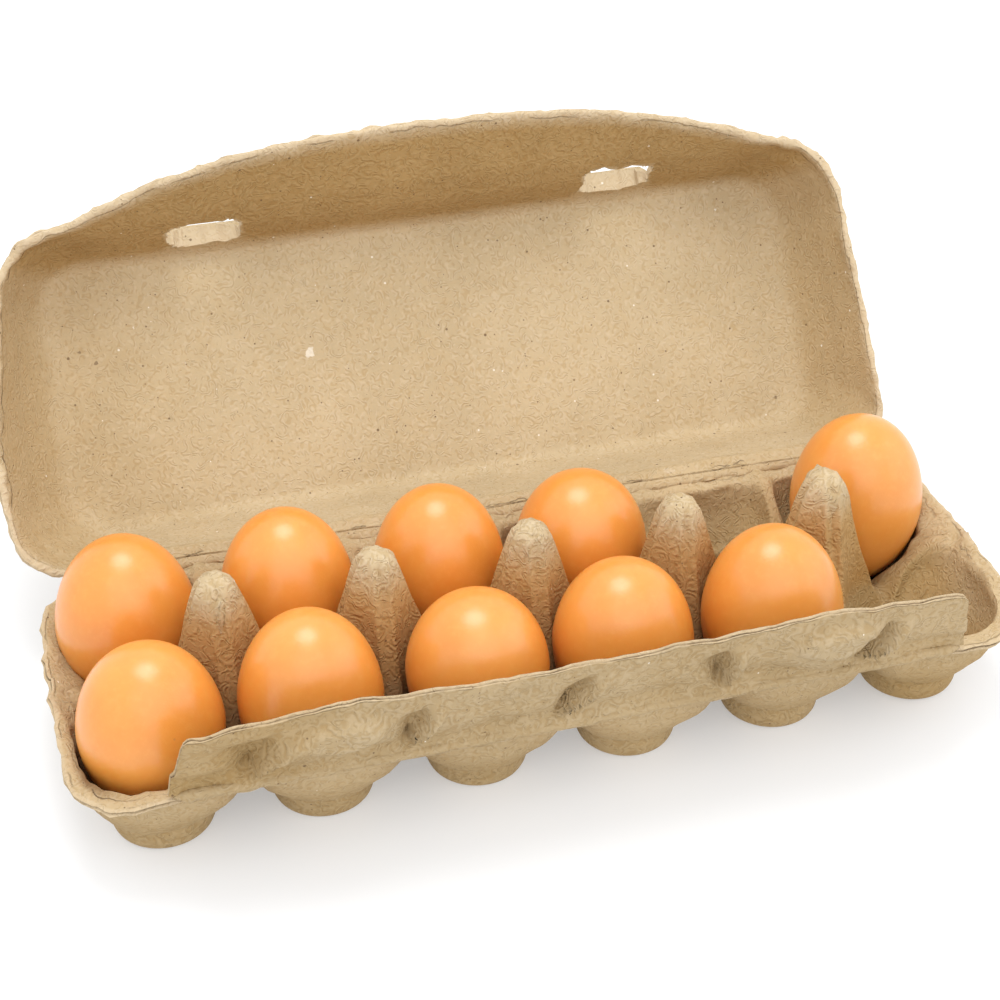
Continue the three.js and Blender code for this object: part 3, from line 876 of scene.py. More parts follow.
def store_tray_tones(tray, points, normals, inside):
    """What the material reads: the way to the rim, the painted shade and light, and the eggs'
    painted reflected light on the pulp.
    """
    height = points[:, 2]
    to_post = post_distance(points)
    store(tray, "rim", np.clip(inside, 0.3, 20))
    store(tray, "folds", 0.4 + 0.6 * at_corner(points))
    # Painted shade low in the cups and on the end cups' steep walls, and painted light on the
    # posts' tops
    end_cup = smooth(points[:, 0], 100, 112) * (points[:, 1] < 2) * smooth(inside, 5, 9)
    store(tray, "deep", 0.25 + 0.4 * (1 - smooth(height, 22, 34)) * smooth(inside, 4, 12)
          + 0.2 * end_cup * (1 - smooth(normals[:, 2], 0.75, 0.95))
          - 0.22 * smooth(height, 48, 60))
    # Between the eggs the pulp gets their warm reflected light, painted, and painted shade down in
    # the gaps
    beside_egg = smooth(inside, 4, 10) * (points[:, 0] < 116)
    store(tray, "egg_bounce_light", beside_egg * smooth(height, 20, 27) * (0.25 + 0.75 * (to_post < 19))
          * (1 - smooth(height, 50, 63)))
    in_gap = (points[:, 0] < 80) * hump(ridge_distance(points), 0, 9) * smooth(-points[:, 1], 9, 25)
    store(tray, "gap", in_gap * smooth(inside, 2, 6) * (1 - smooth(height, 36, 46)))
    store(tray, "swirl", 0.4 + 0.35 * smooth(height, 22, 40) * (to_post < 20)
          + 0.3 * (1 - smooth(height, 10, 20)))


def keep_above(obj, lowest):
    """Brings up what hangs below a height, so that the feet stay flat."""
    points = get_points(obj)
    points[:, 2] = np.maximum(points[:, 2], lowest)
    set_points(obj, points)


def build_tray(look, materials):
    cups = [
        add_sheet(f"cup_{column}_{row}", cup_grid(column, row))
        for column, row in product(range(COLUMNS), (0, 1))
    ]
    tray = join("pulp_tray", cups)
    face_away_from(tray, (0, 0, 1))
    soften_posts(tray)
    points, normals = get_points(tray), get_normals(tray)
    inside = rim_distance(points)
    rough = tray_roughness(points, normals, inside, look.lumpiness)
    set_points(tray, points + normals * rough[:, None] + rim_moves(points, inside))
    keep_above(tray, FLOOR[1] - 0.05)
    store_tray_tones(tray, points, normals, inside)
    thicken(tray, look.pulp, ("egg_bounce_light", "gap"))
    fray_rim(tray, bulge=0.8, groove=0.9, ragged=0.7, seed=11)
    keep_above(tray, 0.0)
    finish_piece(tray, "tray", "pulp", materials["tray"], "tray")


# ---------------------------------------------------------------- lid

PANEL_COLUMNS = 150
PANEL_ROWS = 54


def lid_to_carton(x, s, h):
    """From the lid's own measures to where they lie with the lid open."""
    y = HINGE_Y - s * math.cos(LID_OPEN) + h * math.sin(LID_OPEN)
    z = HINGE_Z + s * math.sin(LID_OPEN) + h * math.cos(LID_OPEN)
    return np.stack([x, y, z], -1)


def carton_to_lid(points):
    """The other way round: x, s and h of points that are given in the carton's measures."""
    y, z = points[:, 1] - HINGE_Y, points[:, 2] - HINGE_Z
    s = -y * math.cos(LID_OPEN) + z * math.sin(LID_OPEN)
    h = y * math.sin(LID_OPEN) + z * math.cos(LID_OPEN)
    return points[:, 0], s, h


def lid_level(h):
    """Half length, back, front, both corner radii and front bow of the lid's wall at a height."""
    levels = np.array(LID_LEVELS)[::-1]
    return [float(np.interp(h, levels[:, 0], levels[:, i])) for i in range(1, 7)]


def lid_outline(u, v, h, wider=0.0):
    """Points of the lid's wall at one height. u and v run from -1 to 1 over a square."""
    half, back, front, back_radius, radius, bow = lid_level(h)
    half, back, front = half + wider, back - wider, front + wider
    x = u * half
    middle, deep = (front + back) / 2, (front - back) / 2
    t = v * deep
    scale = np.maximum(np.abs(u), np.abs(v))
    side = half - radius
    radius = np.maximum(np.where(v > 0, radius, back_radius) * scale ** 3, 1e-3)
    over = np.stack([np.abs(x) - (scale * half - radius), np.abs(t) - (scale * deep - radius)], -1)
    inside = (over > 0).all(-1)
    size = np.maximum(np.linalg.norm(over, axis=-1), 1e-9)
    over = over * (radius / size)[..., None]
    x = np.where(inside, np.sign(x) * (scale * half - radius + over[..., 0]), x)
    t = np.where(inside, np.sign(t) * (scale * deep - radius + over[..., 1]), t)
    s = middle + t
    to_middle = 1 - np.clip(np.abs(x) / side, 0, 1) ** 2.5
    forward = np.clip((s - (front - radius)) / radius, 0, 1) ** 2 * (scale > 0.999)
    s = s + bow * to_middle * forward
    drop = LID_FRONT_DROP * (bow / LID_BOW) ** 2 * to_middle * forward
    low = (LID_DEPTH - h) / LID_DEPTH
    bulge = LID_LEFT_BULGE * low * hump(s, 38, 38)
    x = x - np.where(x < 0, bulge * np.abs(x) / half, 0)
    x = x * (1 - 0.018 * low * smooth(s, 20, 100))
    return x, s, h - drop


def lid_wall_rows():
    """Heights of the rings from the panel's edge to the lip, and how far each is pushed out."""
    heights = np.concatenate([
        [34.2, 34.18, 34.15, 34.08, 34.0, 33.85, 33.7, 33.4, 33.1, 32.6, 32.0, 31.2, 30.4, 29.3,
         28.2, 26.6],
        np.arange(25.0, 5.0, -1.9), [4.6, 3.4, 2.4, 1.6],
    ])
    rows = [(h, 0.0) for h in heights]
    return rows + [(1.3, 0.4), (1.3, 0.8), (1.3, 1.2)]


# The slots: middle and half length along the row, low and high h, and the seed of the torn edge
SLOTS = ((-74.0, 12.6, 15.6, 28.6, 21), (71.0, 12.6, 14.4, 27.4, 22))
SLOT_CORNER = 0.52  # 1 would make a slot an ellipse, 0 a rectangle


def along_slot(x, middle, half):
    """1 along a slot, and 0 a little past its two ends."""
    return 1 - smooth(np.abs(x - middle), half - 1, half + 4)


def lid_sheet():
    """The lid's inner skin: its panel, and rings of wall from the panel's edge to the lip."""
    u, v = np.meshgrid(np.linspace(-1, 1, PANEL_COLUMNS + 1), np.linspace(-1, 1, PANEL_ROWS + 1))
    panel = add_sheet("panel", lid_to_carton(*lid_outline(u, v, LID_DEPTH)))
    # Once round the square's edge, in step with the panel's own edge points
    ring_u, ring_v = (
        np.concatenate([way[0, :-1], way[:-1, -1], way[-1, ::-1][:-1], way[::-1, 0]])
        for way in (u, v)
    )
    rings = []
    for height, wider in lid_wall_rows():
        x, s, h = lid_outline(ring_u, ring_v, height, wider)
        rings.append(lid_to_carton(x, s, h - 0.25 * wider))
    return join("pulp_lid", [panel, add_sheet("wall", np.stack(rings))])


def lid_zones(x, s, h):
    """Height over the lip, which hangs lower in the middle of the front, and how far a point
    belongs to the lip, to the panel, to the left end and to one of the front corners."""
    to_middle = 1 - np.clip(np.abs(x) / 122, 0, 1) ** 2.5
    height = h + LID_FRONT_DROP * smooth(s, 104, 118) * to_middle
    lip = 1 - smooth(height, 2.0, 6.5)
    panel = smooth(h, 30, 34)
    left = smooth(-x, 110, 140)
    corner = smooth(np.abs(x), 112, 132) * smooth(s, 92, 106)
    return height, lip, panel, left, corner


def lid_roughness(points, lumpiness):
    """Shallow waves and dents over the panel, firmer lumps up the walls and on the lip."""
    height, lip, panel, left, corner = lid_zones(*carton_to_lid(points))
    rough = 0.30 * lumps(points, 38, 31) * panel + 0.22 * lumps(points, 16, 32)
    rough += uneven(points, (0.10, 6, 33), (0.06, 3, 34))
    rough += (1 - panel) * 0.16 * lumps(points, 8, 35)
    rough += lip * (1 + 0.6 * left) * uneven(points, (0.6, 6, 36), (0.5, 3.2, 37))
    rough *= lumpiness
    low_corner = corner * (1 - smooth(height, 9, 16))
    return rough + low_corner * uneven(points, (1.2, 8, 38), (0.9, 4, 39))


def store_lid_tones(lid, points):
    """Painted shade: darker in the lid's front and at its ends, less so beside the slots, and over
    the panel's left.
    """
    x, s, h = carton_to_lid(points)
    height, lip, panel, left, corner = lid_zones(x, s, h)
    store(lid, "rim", np.clip(height - 0.9, 0.3, 20))
    store(lid, "folds", np.maximum(left, corner))
    up_wall = 1 - smooth(h, 27, 33.5)
    front_wall = smooth(s, 96, 103)
    end_wall = smooth(np.abs(x), 118, 134) * (1 - front_wall)
    by_slot = np.zeros(len(points))
    for middle, half, _, high, _ in SLOTS:
        near_edge = 1 - smooth(np.abs(h - high - 2), 3, 5)
        by_slot += along_slot(x, middle, half) * near_edge * front_wall
    wall_shade = up_wall * (0.95 * front_wall + 0.4 * end_wall) * smooth(height, 1.8, 5.5)
    # Painted shade over the panel's left side
    panel_left_shade = 0.22 * smooth(-x, 60, 130) * panel
    store(lid, "deep", wall_shade * (1 - 0.4 * by_slot) + panel_left_shade)
    store(lid, "swirl", 0.22 + 0.35 * np.maximum(lip, up_wall * front_wall))


def build_lid(look, materials):
    lid = lid_sheet()
    face_away_from(lid, -LID_UP)
    points, normals = get_points(lid), get_normals(lid)
    rough = lid_roughness(points, look.lumpiness)
    set_points(lid, points + normals * rough[:, None])
    store_lid_tones(lid, points)
    thicken(lid, look.pulp, ("deep",))
    fray_rim(lid, bulge=0.7, groove=1.0, ragged=0.8, seed=43)
    thicken_slot_edges(lid)
    for number, slot in enumerate(SLOTS):
        cut_slot(lid, number, *slot)
    finish_piece(lid, "lid", "pulp", materials["lid"], "lid")


def thicken_slot_edges(lid):
    """Punching the slots left the pulp turned outward along their panel side."""
    points = get_points(lid)
    normals = get_normals(lid)
    x, s, h = carton_to_lid(points)
    front = s > 98
    outer = normals @ LID_UP > 0.05
    push = np.zeros(len(points))
    for middle, half, _, high, _ in SLOTS:
        push += 5.6 * along_slot(x, middle, half) * hump(h - high, 1.0, 3.2)
    points += normals * (push * front * outer)[:, None]
    set_points(lid, points)


def cut_slot(lid, number, middle, half, low, high, seed):
    """A ragged oblong hole through the lid's front wall."""
    bpy.ops.object.select_all(action="DESELECT")
    bpy.ops.mesh.primitive_cylinder_add(vertices=96, radius=1, depth=2, end_fill_type="NGON")
    cutter = bpy.context.active_object
    cutter.name = f"slot_cutter_{number}"
    unit = np.array([vertex.co for vertex in cutter.data.vertices])
    turn = np.arctan2(unit[:, 1], unit[:, 0])
    out_x, out_h = np.cos(turn), np.sin(turn)
    across = np.sign(out_x) * np.abs(out_x) ** SLOT_CORNER
    along = np.sign(out_h) * np.abs(out_h) ** SLOT_CORNER
    around = np.stack([out_x, out_h, np.zeros(len(turn))], -1) * 20
    torn = uneven(around, (0.8, 4.0, seed), (0.8, 1.5, seed + 5))
    x = middle + across * (half + 1.2 * lumps(around, 9, seed + 7)) + torn * out_x
    h = (high + low) / 2 + along * ((high - low) / 2) + torn * out_h - 0.5 * across
    # The cut runs level through the sloping wall, so that its panel side shows as a ledge
    s = np.where(unit[:, 2] > 0, 125.0, 92.0)
    set_points(cutter, lid_to_carton(x, s, h))
    with editing(cutter):
        bpy.ops.mesh.normals_make_consistent(inside=False)
    select_only(lid)
    cut = lid.modifiers.new("Slot", "BOOLEAN")
    cut.operation = "DIFFERENCE"
    cut.solver = "EXACT"
    cut.object = cutter
    bpy.ops.object.modifier_apply(modifier=cut.name)
    bpy.data.objects.remove(cutter, do_unlink=True)


# ---------------------------------------------------------------- locking flap

FLAP_COLUMNS = 210
FLAP_ROWS = 26


def flap_point(x, up, out):
    """A point of the flap from its place along the crease, up the flap and out from it."""
    y = FLAP_Y - up * math.sin(FLAP_LEAN) - out * math.cos(FLAP_LEAN)
    z = FLAP_Z + up * math.cos(FLAP_LEAN) - out * math.sin(FLAP_LEAN)
    return np.stack([x, y, z], -1)


def flap_top(x):
    """How much taller the flap stands here than at its two ends."""
    near_end = np.clip((FLAP_BASE_HALF - np.abs(x)) / 30, 0, 1)
    over_button = hump(x, -70, 13) + hump(x, 70, 14)
    return 2.8 * near_end * (2 - near_end) + 2.2 * over_button


# Middle, lean, width and depth of the pinched dents between the cups
DENTS = ((-96, 0.35, 1.5, 1.0), (-51, 0.25, 0.9, 0.85), (-5.5, 0.45, 0.9, 0.9),
         (41, -0.1, 0.95, 1.0), (87, 0.4, 1.0, 1.0))


def flap_relief(x, up):
    """How far the flap's face stands out: two buttons, the dents between the cups, waves."""
    rise = np.zeros_like(x)
    for middle in BUTTONS_X:
        across = (x - middle) / 15
        inside = np.maximum(0, 1 - across ** 2 - ((up - 19) / 7.2) ** 2)
        rise += 2.8 * np.minimum(1, 1.7 * inside)
        soft = np.maximum(0, 1 - ((x - middle) / 19) ** 2 - ((up - 14.5) / 12) ** 2)
        rise += 1.4 * np.minimum(1, 1.6 * soft)
    for middle, lean, wide, deep in DENTS:
        off = x - middle - lean * (up - 10)
        reach = wide * (1.1 + 3.3 * smooth(up, 5, 19))
        tall = smooth(up, 2.5, 8) * (1 - smooth(up, 16, 23))
        slope = np.where(off < 0, 1.6, 0.45) * reach
        rise -= 5.2 * deep * tall * hump(off, 0, slope)
        rise += 3.4 * deep * tall * hump(off, 1.2 * reach, 0.5 * reach)
    # The face is drawn in along its foot, more in some places than in others
    rise -= 1.1 * hump(up, 6.5, 4.0) * (1 + 0.8 * lumps(along_x(x), 12, 50))
    flat = np.stack([x, up, np.zeros_like(x)], -1)
    rise += uneven(flat, (0.5, 22, 51), (0.55, 9, 52), (0.3, 4.5, 53))
    return rise + 0.14 * lumps(flat, 2.2, 57)


def build_flap(look, materials):
    # The crease's strip covers the foot, and the frayed rim stands past the top row
    share, up = np.meshgrid(np.linspace(-1, 1, FLAP_COLUMNS + 1),
                            np.linspace(1.0, FLAP_HEIGHT - 0.4, FLAP_ROWS + 1))
    half = FLAP_BASE_HALF - FLAP_TAPER * up / FLAP_HEIGHT
    into = np.maximum(0, up - (FLAP_HEIGHT - FLAP_CORNER)) / FLAP_CORNER
    half -= FLAP_CORNER * (1 - np.sqrt(np.maximum(1 - into ** 2, 0)))
    x = share * half
    from_top = FLAP_HEIGHT - up
    wave = uneven(along_x(x), (0.3, 25, 54), (0.4, 6, 55), (0.25, 3, 56))
    up = up + (wave + flap_top(x)) * smooth(up, 14, FLAP_HEIGHT)
    relief = flap_relief(x, up) * smooth(up, 0.5, 3.0) * (1 - 0.6 * smooth(up, 24, 30))
    # The foot's ends lie a little further in, clear of the shut lid's lip
    relief -= 1.3 * smooth(np.abs(x), 96, 108) * (1 - smooth(up, 5, 11))
    flap = add_sheet("locking_flap", flap_point(x, up, 0.9 + relief))
    face_away_from(flap, (0, -1, 0))
    store(flap, "rim", np.clip(from_top.ravel() + 0.5, 0.3, 20))
    store(flap, "folds", np.zeros(from_top.size))
    # Painted shade in the dents and over the left end, and painted light on the buttons' tops
    hollow = smooth(-relief.ravel(), -0.4, 2.2)
    to_left = smooth(-x.ravel(), 60, 90)
    store(flap, "deep", 0.34 + 0.2 * hollow + 0.3 * to_left
          - 0.15 * smooth(relief.ravel(), 1.5, 4))
    store(flap, "swirl", np.full(hollow.size, 0.7))
    thicken(flap, look.flap_pulp)
    fray_rim(flap, bulge=0.25, groove=0.6, ragged=0.35, seed=58)
    finish_piece(flap, "flap", "pulp", materials["flap"], "flap")


# ---------------------------------------------------------------- creased pulp across the folds

# The strips' sections, as (y, z) points round each
LID_CREASE = (
    (50.8, 32.6), (51.8, 33.5), (53.0, 34.0), (53.35, 33.2), (53.7, 34.2), (54.7, 34.0),
    (55.8, 34.1), (57.0, 34.8), (58.6, 34.9), (60.8, 33.9), (60.6, 32.9), (58.2, 33.2),
    (56.4, 32.8), (55.2, 32.4), (53.8, 31.8), (52.4, 31.4), (50.9, 31.9),
)
LID_CRACK = 3  # which of them is the bottom of the crack
FLAP_CREASE = (
    (-52.6, 35.5), (-54.2, 36.1), (-55.4, 37.0), (-55.9, 38.2), (-56.6, 38.7), (-57.6, 38.3),
    (-58.1, 37.3), (-58.0, 36.2), (-57.5, 35.1), (-56.4, 34.2), (-55.2, 33.9), (-53.6, 34.6),
)


def crease_strip(name, section, half, along, seed, rough, notch=None):
    """A closed strip of wrinkled pulp that follows a fold. section lists (y, z) round it,
    and notch is the place in the list of the bottom of its crack."""
    x = np.linspace(-half, half, along + 1)
    ring = np.array(list(section) + [section[0]], float)
    points = np.empty((len(ring), along + 1, 3))
    points[..., 0] = x[None, :]
    points[..., 1] = ring[:, :1]
    points[..., 2] = ring[:, 1:]
    middle = np.array([ring[:-1, 0].mean(), ring[:-1, 1].mean()])
    out = ring - middle
    out /= np.linalg.norm(out, axis=1)[:, None]
    push = rough * (lumps(points, 6, seed) + 0.8 * lumps(points * (1, 2, 2), 2.6, seed + 1))
    push[-1] = push[0]
    points[..., 1] += out[:, :1] * push
    points[..., 2] += out[:, 1:] * push
    if notch:
        points[notch - 1:notch + 2, :, 1] += 1.0 * lumps(points[notch] * (1, 0, 0), 24, seed + 2)
    # Each end is drawn in to a tapered close
    taper = smooth(half - np.abs(x), 0.0, 5.0) ** 0.5
    for axis, centre in ((1, middle[0]), (2, middle[1])):
        points[..., axis] = centre + (points[..., axis] - centre) * np.maximum(taper, 0.02)
    strip = add_sheet(name, points)
    if notch:
        # Painted shade along the bottom of the crack, darker in some places than in others
        dark = 0.75 + 0.5 * lumps(points[notch] * (1, 0, 0), 9, seed + 3)
        store(strip, "crack", np.outer(np.arange(len(ring)) == notch, dark).ravel())
    with editing(strip):
        bpy.ops.mesh.remove_doubles(threshold=WELD / 2 * MM)
        bpy.ops.mesh.select_all(action="DESELECT")
        bpy.ops.mesh.select_non_manifold()
        bpy.ops.mesh.edge_face_add()
        bpy.ops.mesh.select_all(action="SELECT")
        bpy.ops.mesh.normals_make_consistent(inside=False)
    return strip


def crease_tones(crease, from_fold, folds, deep):
    """The same tones all along a strip, among them an even painted shade, and open cracks of
    painted shade near its fold.
    """
    store(crease, "rim", np.abs(from_fold) + 3.2)
    for tone, value in (("folds", folds), ("deep", deep), ("swirl", 0.35)):
        store(crease, tone, np.full(len(from_fold), value))


def build_creases(materials):
    crease = crease_strip("lid_crease", LID_CREASE, half=131, along=240, seed=71, rough=0.42,
                          notch=LID_CRACK)
    crease_tones(crease, get_points(crease)[:, 1] - 54.9, folds=0.7, deep=0.2)
    finish_piece(crease, None, "pulp", materials["lid"])
    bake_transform(crease)
    crease = crease_strip("flap_crease", FLAP_CREASE, half=118.6, along=190, seed=81, rough=0.35)
    crease_tones(crease, get_points(crease)[:, 2] - 35.4, folds=0.2, deep=0.4)
    finish_piece(crease, None, "pulp", materials["flap"])
    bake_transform(crease)


# ---------------------------------------------------------------- eggs

# name, column, row, offset along the row, radius, top, tint
EGGS = (
    ("egg_front_1", 0, 0, -0.4, 21.4, 62.4, (1.00, 1.00, 1.00)),
    ("egg_front_2", 1, 0, -1.7, 21.5, 64.4, (1.00, 1.00, 1.02)),
    ("egg_front_3", 2, 0, 0.7, 21.5, 60.8, (1.00, 1.01, 1.05)),
    ("egg_front_4", 3, 0, -1.7, 21.5, 62.9, (0.99, 0.98, 0.96)),
    ("egg_front_5", 4, 0, -1.4, 21.9, 65.6, (1.00, 1.00, 1.00)),
    ("egg_back_1", 0, 1, -1.1, 21.8, 65.2, (0.99, 0.98, 0.95)),
    ("egg_back_2", 1, 1, 0.8, 21.2, 65.6, (1.00, 0.98, 0.94)),
    ("egg_back_3", 2, 1, 1.3, 21.1, 65.0, (1.00, 0.98, 0.93)),
    ("egg_back_4", 3, 1, 0.4, 21.2, 61.6, (1.00, 0.97, 0.92)),
    ("egg_back_6", 5, 1, 0.5, 21.8, 65.6, (1.00, 1.02, 1.06)),
)


def build_egg(look, number, name, column, row, offset, radius, top, tint):
    """A round ball drawn out into an egg, blunt end up, with a slightly uneven shell."""
    bpy.ops.object.select_all(action="DESELECT")
    bpy.ops.mesh.primitive_uv_sphere_add(segments=64, ring_count=44, radius=1)
    egg = bpy.context.active_object
    egg.name = f"shell_{name}"
    ball = np.array([vertex.co for vertex in egg.data.vertices])
    height = np.where(ball[:, 2] > 0, top - EGG_WIDEST_Z, EGG_WIDEST_Z - EGG_BOTTOM_Z)
    slim_above = 0.02 * np.sin(np.pi * np.clip(ball[:, 2], 0, 1))
    slim = 1 - 0.05 * smooth(-ball[:, 2], 0.1, 1.0) - slim_above
    wide = slim * radius
    shape = ball * np.stack([wide, wide, height], -1)
    shape *= (1 + 0.004 * lumps(ball * 10, 7, 90 + number))[:, None]
    x, y = cup_middle(column, row)
    set_points(egg, shape + (x + offset, y, EGG_WIDEST_Z))
    shift = (0.13 * number, 0.29 * number, 0.41)
    material = make_shell(f"Eggshell {number + 1}", look, tint, shift)
    finish_piece(egg, "tray", "eggshell", material, name, smooth_angle=180)


# ---------------------------------------------------------------- stage

WHITE = (1, 1, 1, 1)
FLOOR_GAP = 0.2  # the floor lies this far under the feet
# Where the camera stands, and which way its right side, its top and its view point
CAMERA_AT = (-136.42, -453.34, 418.53)
CAMERA_RIGHT = (0.96285, -0.27003, -0.00049)
CAMERA_UP = (0.15899, 0.56547, 0.80930)
CAMERA_FORWARD = (0.21826, 0.77931, -0.58740)


def add_area(name, at, size, power):
    """A round soft light that points at the carton. at is in carton millimetres, size in metres."""
    bpy.ops.object.light_add(type="AREA", location=in_frame(at))
    light = bpy.context.active_object
    light.name = name
    light.data.shape = "DISK"
    light.data.size = size
    light.data.energy = power
    aim = Vector(in_frame((0, 0, 30))) - light.location
    light.rotation_euler = aim.to_track_quat("-Z", "Y").to_euler()


def add_floor(colour, glow):
    bpy.ops.object.select_all(action="DESELECT")
    bpy.ops.mesh.primitive_plane_add(size=12, location=(0, 0, -FLOOR_GAP * MM))
    floor = bpy.context.active_object
    floor.name = "floor"
    material, _, shader = new_material("Pale floor")
    shader.inputs["Base Color"].default_value = rgba(colour)
    shader.inputs["Roughness"].default_value = 0.9
    shader.inputs["Specular IOR Level"].default_value = 0.0
    shader.inputs["Emission Color"].default_value = WHITE
    shader.inputs["Emission Strength"].default_value = glow
    floor.data.materials.append(material)


def set_world(strength):
    world = bpy.data.worlds.new("Studio")
    bpy.context.scene.world = world
    world.use_nodes = True
    background = world.node_tree.nodes["Background"]
    background.inputs["Color"].default_value = WHITE
    background.inputs["Strength"].default_value = strength


def add_camera(lens):
    data = bpy.data.cameras.new("Studio camera")
    camera = bpy.data.objects.new("Studio camera", data)
    bpy.context.scene.collection.objects.link(camera)
    right, up, forward = (Vector(v).normalized() for v in (CAMERA_RIGHT, CAMERA_UP, CAMERA_FORWARD))
    turn = Matrix((right, up, -forward)).transposed().to_4x4()
    camera.matrix_world = Matrix.Translation(in_frame(CAMERA_AT)) @ turn
    data.sensor_width = 36
    data.lens = lens
    data.clip_start = 0.01
    bpy.context.scene.camera = camera


def build_stage(stage):
    add_floor(stage.floor, stage.glow)
    set_world(stage.fill)
    add_area("overhead_softbox", (-40, 140, 900), 0.5, stage.overhead)
    add_area("front_softbox", (-60, -830, 990), 1.6, stage.front)
    add_area("side_softbox", (900, -300, 520), 1.0, stage.side)
    add_camera(stage.lens)
    bpy.context.scene.view_settings.view_transform = "Standard"


# ---------------------------------------------------------------- add-on


def colour(name, description, default):
    return bpy.props.FloatVectorProperty(
        name=name, description=description, default=default, size=3, min=0, max=1, subtype="COLOR"
    )


def number(name, description, default, **limits):
    return bpy.props.FloatProperty(name=name, description=description, default=default, **limits)


class CartonLook(bpy.types.PropertyGroup):
    """Thickness, roughness and colours of the pulp, with the tints of its painted shade and light.
    """

    pulp: number("Pulp thickness", "Wall thickness of tray and lid, in millimetres", 2.0,
                 min=1.0, max=3.0)
    flap_pulp: number("Flap thickness", "Thickness of the locking flap, in millimetres", 1.8,
                      min=1.0, max=2.5)
    lumpiness: number("Lumpiness", "How uneven the moulded walls are", 1.0,
                      min=0.0, max=2.0, subtype="FACTOR")
    pulp_light: colour("Pulp, light", "Lighter tone of the pulp", (0.52, 0.404, 0.248))
    pulp_dark: colour("Pulp, dark", "Darker tone of the pulp", (0.46, 0.352, 0.208))
    pulp_warm: colour("Pulp, warm", "Browner cloudy patches", (0.488, 0.36, 0.2))
    pulp_grey: colour("Pulp, grey", "Grain in the surface", (0.376, 0.32, 0.232))
    # Also a painted highlight along the torn edges
    pulp_cream: colour("Pulp, cream", "Torn edges and fibres", (0.592, 0.48, 0.336))
    # Painted shade in cups, corners, dents and between the fibres
    deep: colour("Shade, deep", "What the pulp's colour goes down to in cups and corners",
                 (0.74, 0.62, 0.40))
    # Painted light: the eggs' warm reflected light on the pulp beside them
    egg_bounce_light: colour("Shade, by the eggs", "Warmer tone of the pulp beside the eggs",
                   (0.95, 0.78, 0.55))
    # Painted shade down between two eggs
    gap: colour("Shade, gaps", "Darker tone down between two eggs", (0.30, 0.17, 0.08))
    # Painted shade inside the cracks
    crack: colour("Cracks", "Inside of the cracks along the rims", (0.10, 0.055, 0.025))
    speck: colour("Dark specks", "Specks of dark fibre", (0.12, 0.07, 0.035))
    fleck: colour("White flecks", "Flecks of white fibre", (0.85, 0.80, 0.70))


class EggLook(bpy.types.PropertyGroup):
    """Colours of the eggshells."""

    shell: colour("Shell", "Main colour of the shells", (0.75, 0.302, 0.055))
    shell_deep: colour("Shell, deep", "Cloudy darker patches", (0.715, 0.266, 0.041))
    shell_light: colour("Shell, light", "Fine pale freckles", (0.80, 0.360, 0.088))
    shell_dot: colour("Shell dots", "Small brown dots", (0.50, 0.20, 0.07))


class StageLook(bpy.types.PropertyGroup):
    """Floor, lights and lens."""

    floor: colour("Floor", "Colour of the floor", (0.59, 0.60, 0.615))
    glow: number("Glow", "Light that comes through the floor from below", 0.32, min=0)
    fill: number("Fill", "Strength of the light from all round", 1.20, min=0)
    overhead: number("Overhead", "Power of the softbox above", 3.3, min=0, unit="POWER")
    front: number("Front", "Power of the softbox in front", 4.4, min=0, unit="POWER")
    side: number("Side", "Power of the softbox on the right", 1.6, min=0, unit="POWER")
    lens: number("Lens", "Focal length of the camera", 70.56, min=20, unit="CAMERA")


PULP_MATERIALS = {}

# Flecks that stand out on the lid: where, radius, and whether it is pale
LID_FLECKS = (
    ((-44.2, 120.0, 62.5), 1.9, True),
    ((121.1, 95.7, 30.5), 1.0, False),
    ((-121.0, 126.7, 71.3), 0.9, False),
    ((-116.0, 124.2, 68.0), 0.7, False),
    ((-127.4, 115.7, 56.9), 0.7, False),
    ((-101.1, 118.5, 60.5), 0.6, False),
)


def pulp_materials(look):
    """The pulp's three finishes, made when the first piece asks for them."""
    if not PULP_MATERIALS:
        PULP_MATERIALS["tray"] = make_pulp("Pulp of the tray", look, relief=1.1)
        PULP_MATERIALS["lid"] = make_pulp("Pulp of the lid", look, flecks=LID_FLECKS)
        # The flap's pulp is painted darker: painted shade on its face that turns down from the
        # light
        PULP_MATERIALS["flap"] = make_pulp("Pulp of the flap", look, shade=0.93)
    return PULP_MATERIALS


class CARTON_OT_tray(bpy.types.Operator):
    """Moulded tray with twelve cups and five posts"""

    bl_idname = "carton.tray"
    bl_label = "Tray"

    def execute(self, context):
        look = context.scene.carton_look
        build_tray(look, pulp_materials(look))
        return {"FINISHED"}


class CARTON_OT_lid(bpy.types.Operator):
    """Open lid with its two slots"""

    bl_idname = "carton.lid"
    bl_label = "Lid"

    def execute(self, context):
        look = context.scene.carton_look
        build_lid(look, pulp_materials(look))
        return {"FINISHED"}


class CARTON_OT_flap(bpy.types.Operator):
    """Locking flap with its two buttons"""

    bl_idname = "carton.flap"
    bl_label = "Locking flap"

    def execute(self, context):
        look = context.scene.carton_look
        build_flap(look, pulp_materials(look))
        return {"FINISHED"}


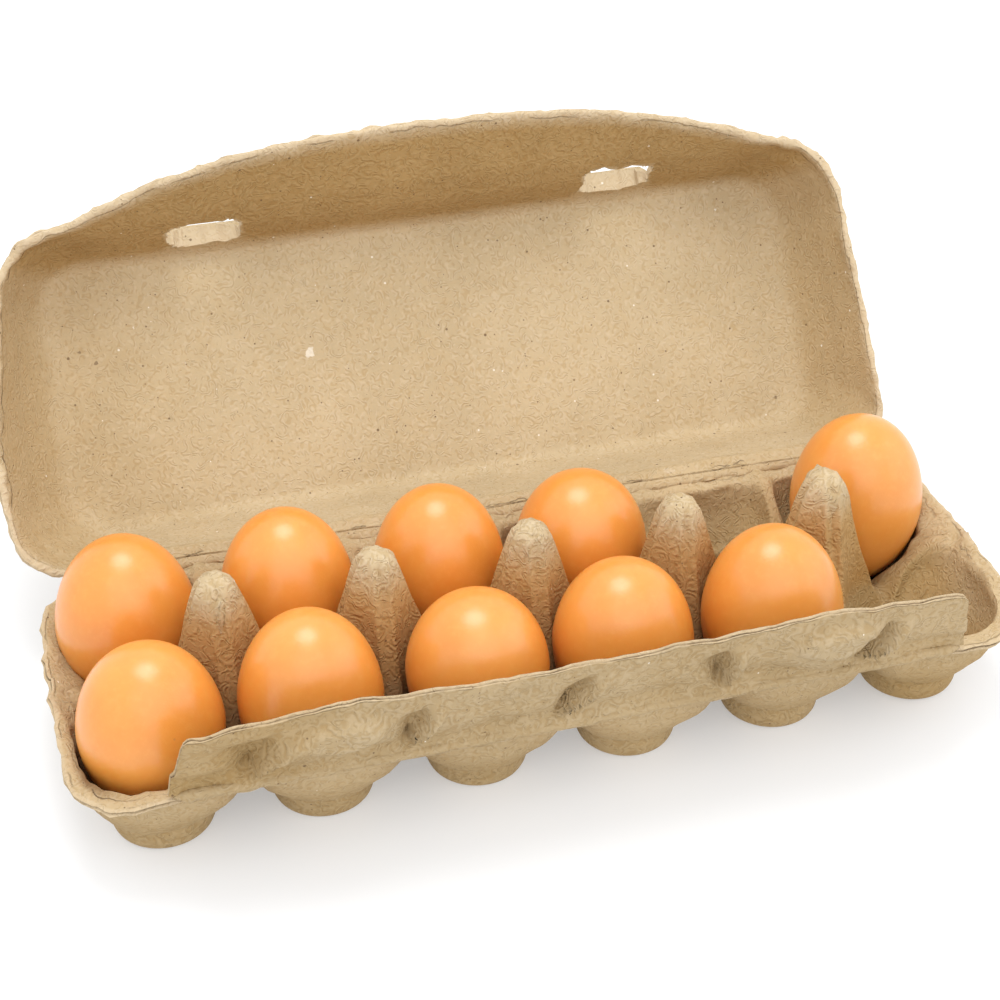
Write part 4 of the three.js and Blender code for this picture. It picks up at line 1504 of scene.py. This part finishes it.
class CARTON_OT_creases(bpy.types.Operator):
    """Wrinkled pulp across the two folds"""

    bl_idname = "carton.creases"
    bl_label = "Creases"

    def execute(self, context):
        build_creases(pulp_materials(context.scene.carton_look))
        return {"FINISHED"}


class CARTON_OT_eggs(bpy.types.Operator):
    """Ten brown eggs in their cups"""

    bl_idname = "carton.eggs"
    bl_label = "Eggs"

    def execute(self, context):
        for number, egg in enumerate(EGGS):
            build_egg(context.scene.carton_eggs, number, *egg)
        return {"FINISHED"}


class CARTON_OT_stage(bpy.types.Operator):
    """Floor, soft lights and camera"""

    bl_idname = "carton.stage"
    bl_label = "Stage"

    def execute(self, context):
        build_stage(context.scene.carton_stage)
        return {"FINISHED"}


OPERATORS = (CARTON_OT_tray, CARTON_OT_lid, CARTON_OT_flap, CARTON_OT_creases, CARTON_OT_eggs,
             CARTON_OT_stage)


class CARTON_PT_panel(bpy.types.Panel):
    """Lists the pieces and their settings"""

    bl_idname = "CARTON_PT_panel"
    bl_label = "Egg Carton"
    bl_space_type = "VIEW_3D"
    bl_region_type = "UI"
    bl_category = "Egg Carton"

    def draw(self, context):
        layout = self.layout
        for operator in OPERATORS:
            layout.operator(operator.bl_idname)
        for group in (context.scene.carton_look, context.scene.carton_eggs,
                      context.scene.carton_stage):
            box = layout.box()
            for name in group.bl_rna.properties.keys():
                if name not in ("rna_type", "name"):
                    box.prop(group, name)


CLASSES = (CartonLook, EggLook, StageLook, *OPERATORS, CARTON_PT_panel)


def register():
    for cls in CLASSES:
        bpy.utils.register_class(cls)
    bpy.types.Scene.carton_look = bpy.props.PointerProperty(type=CartonLook)
    bpy.types.Scene.carton_eggs = bpy.props.PointerProperty(type=EggLook)
    bpy.types.Scene.carton_stage = bpy.props.PointerProperty(type=StageLook)


def unregister():
    del bpy.types.Scene.carton_stage
    del bpy.types.Scene.carton_eggs
    del bpy.types.Scene.carton_look
    for cls in reversed(CLASSES):
        bpy.utils.unregister_class(cls)


def main():
    register()
    for name in ("tray", "lid", "flap", "creases", "eggs", "stage"):
        getattr(bpy.ops.carton, name)()


if __name__ == "__main__":
    main()
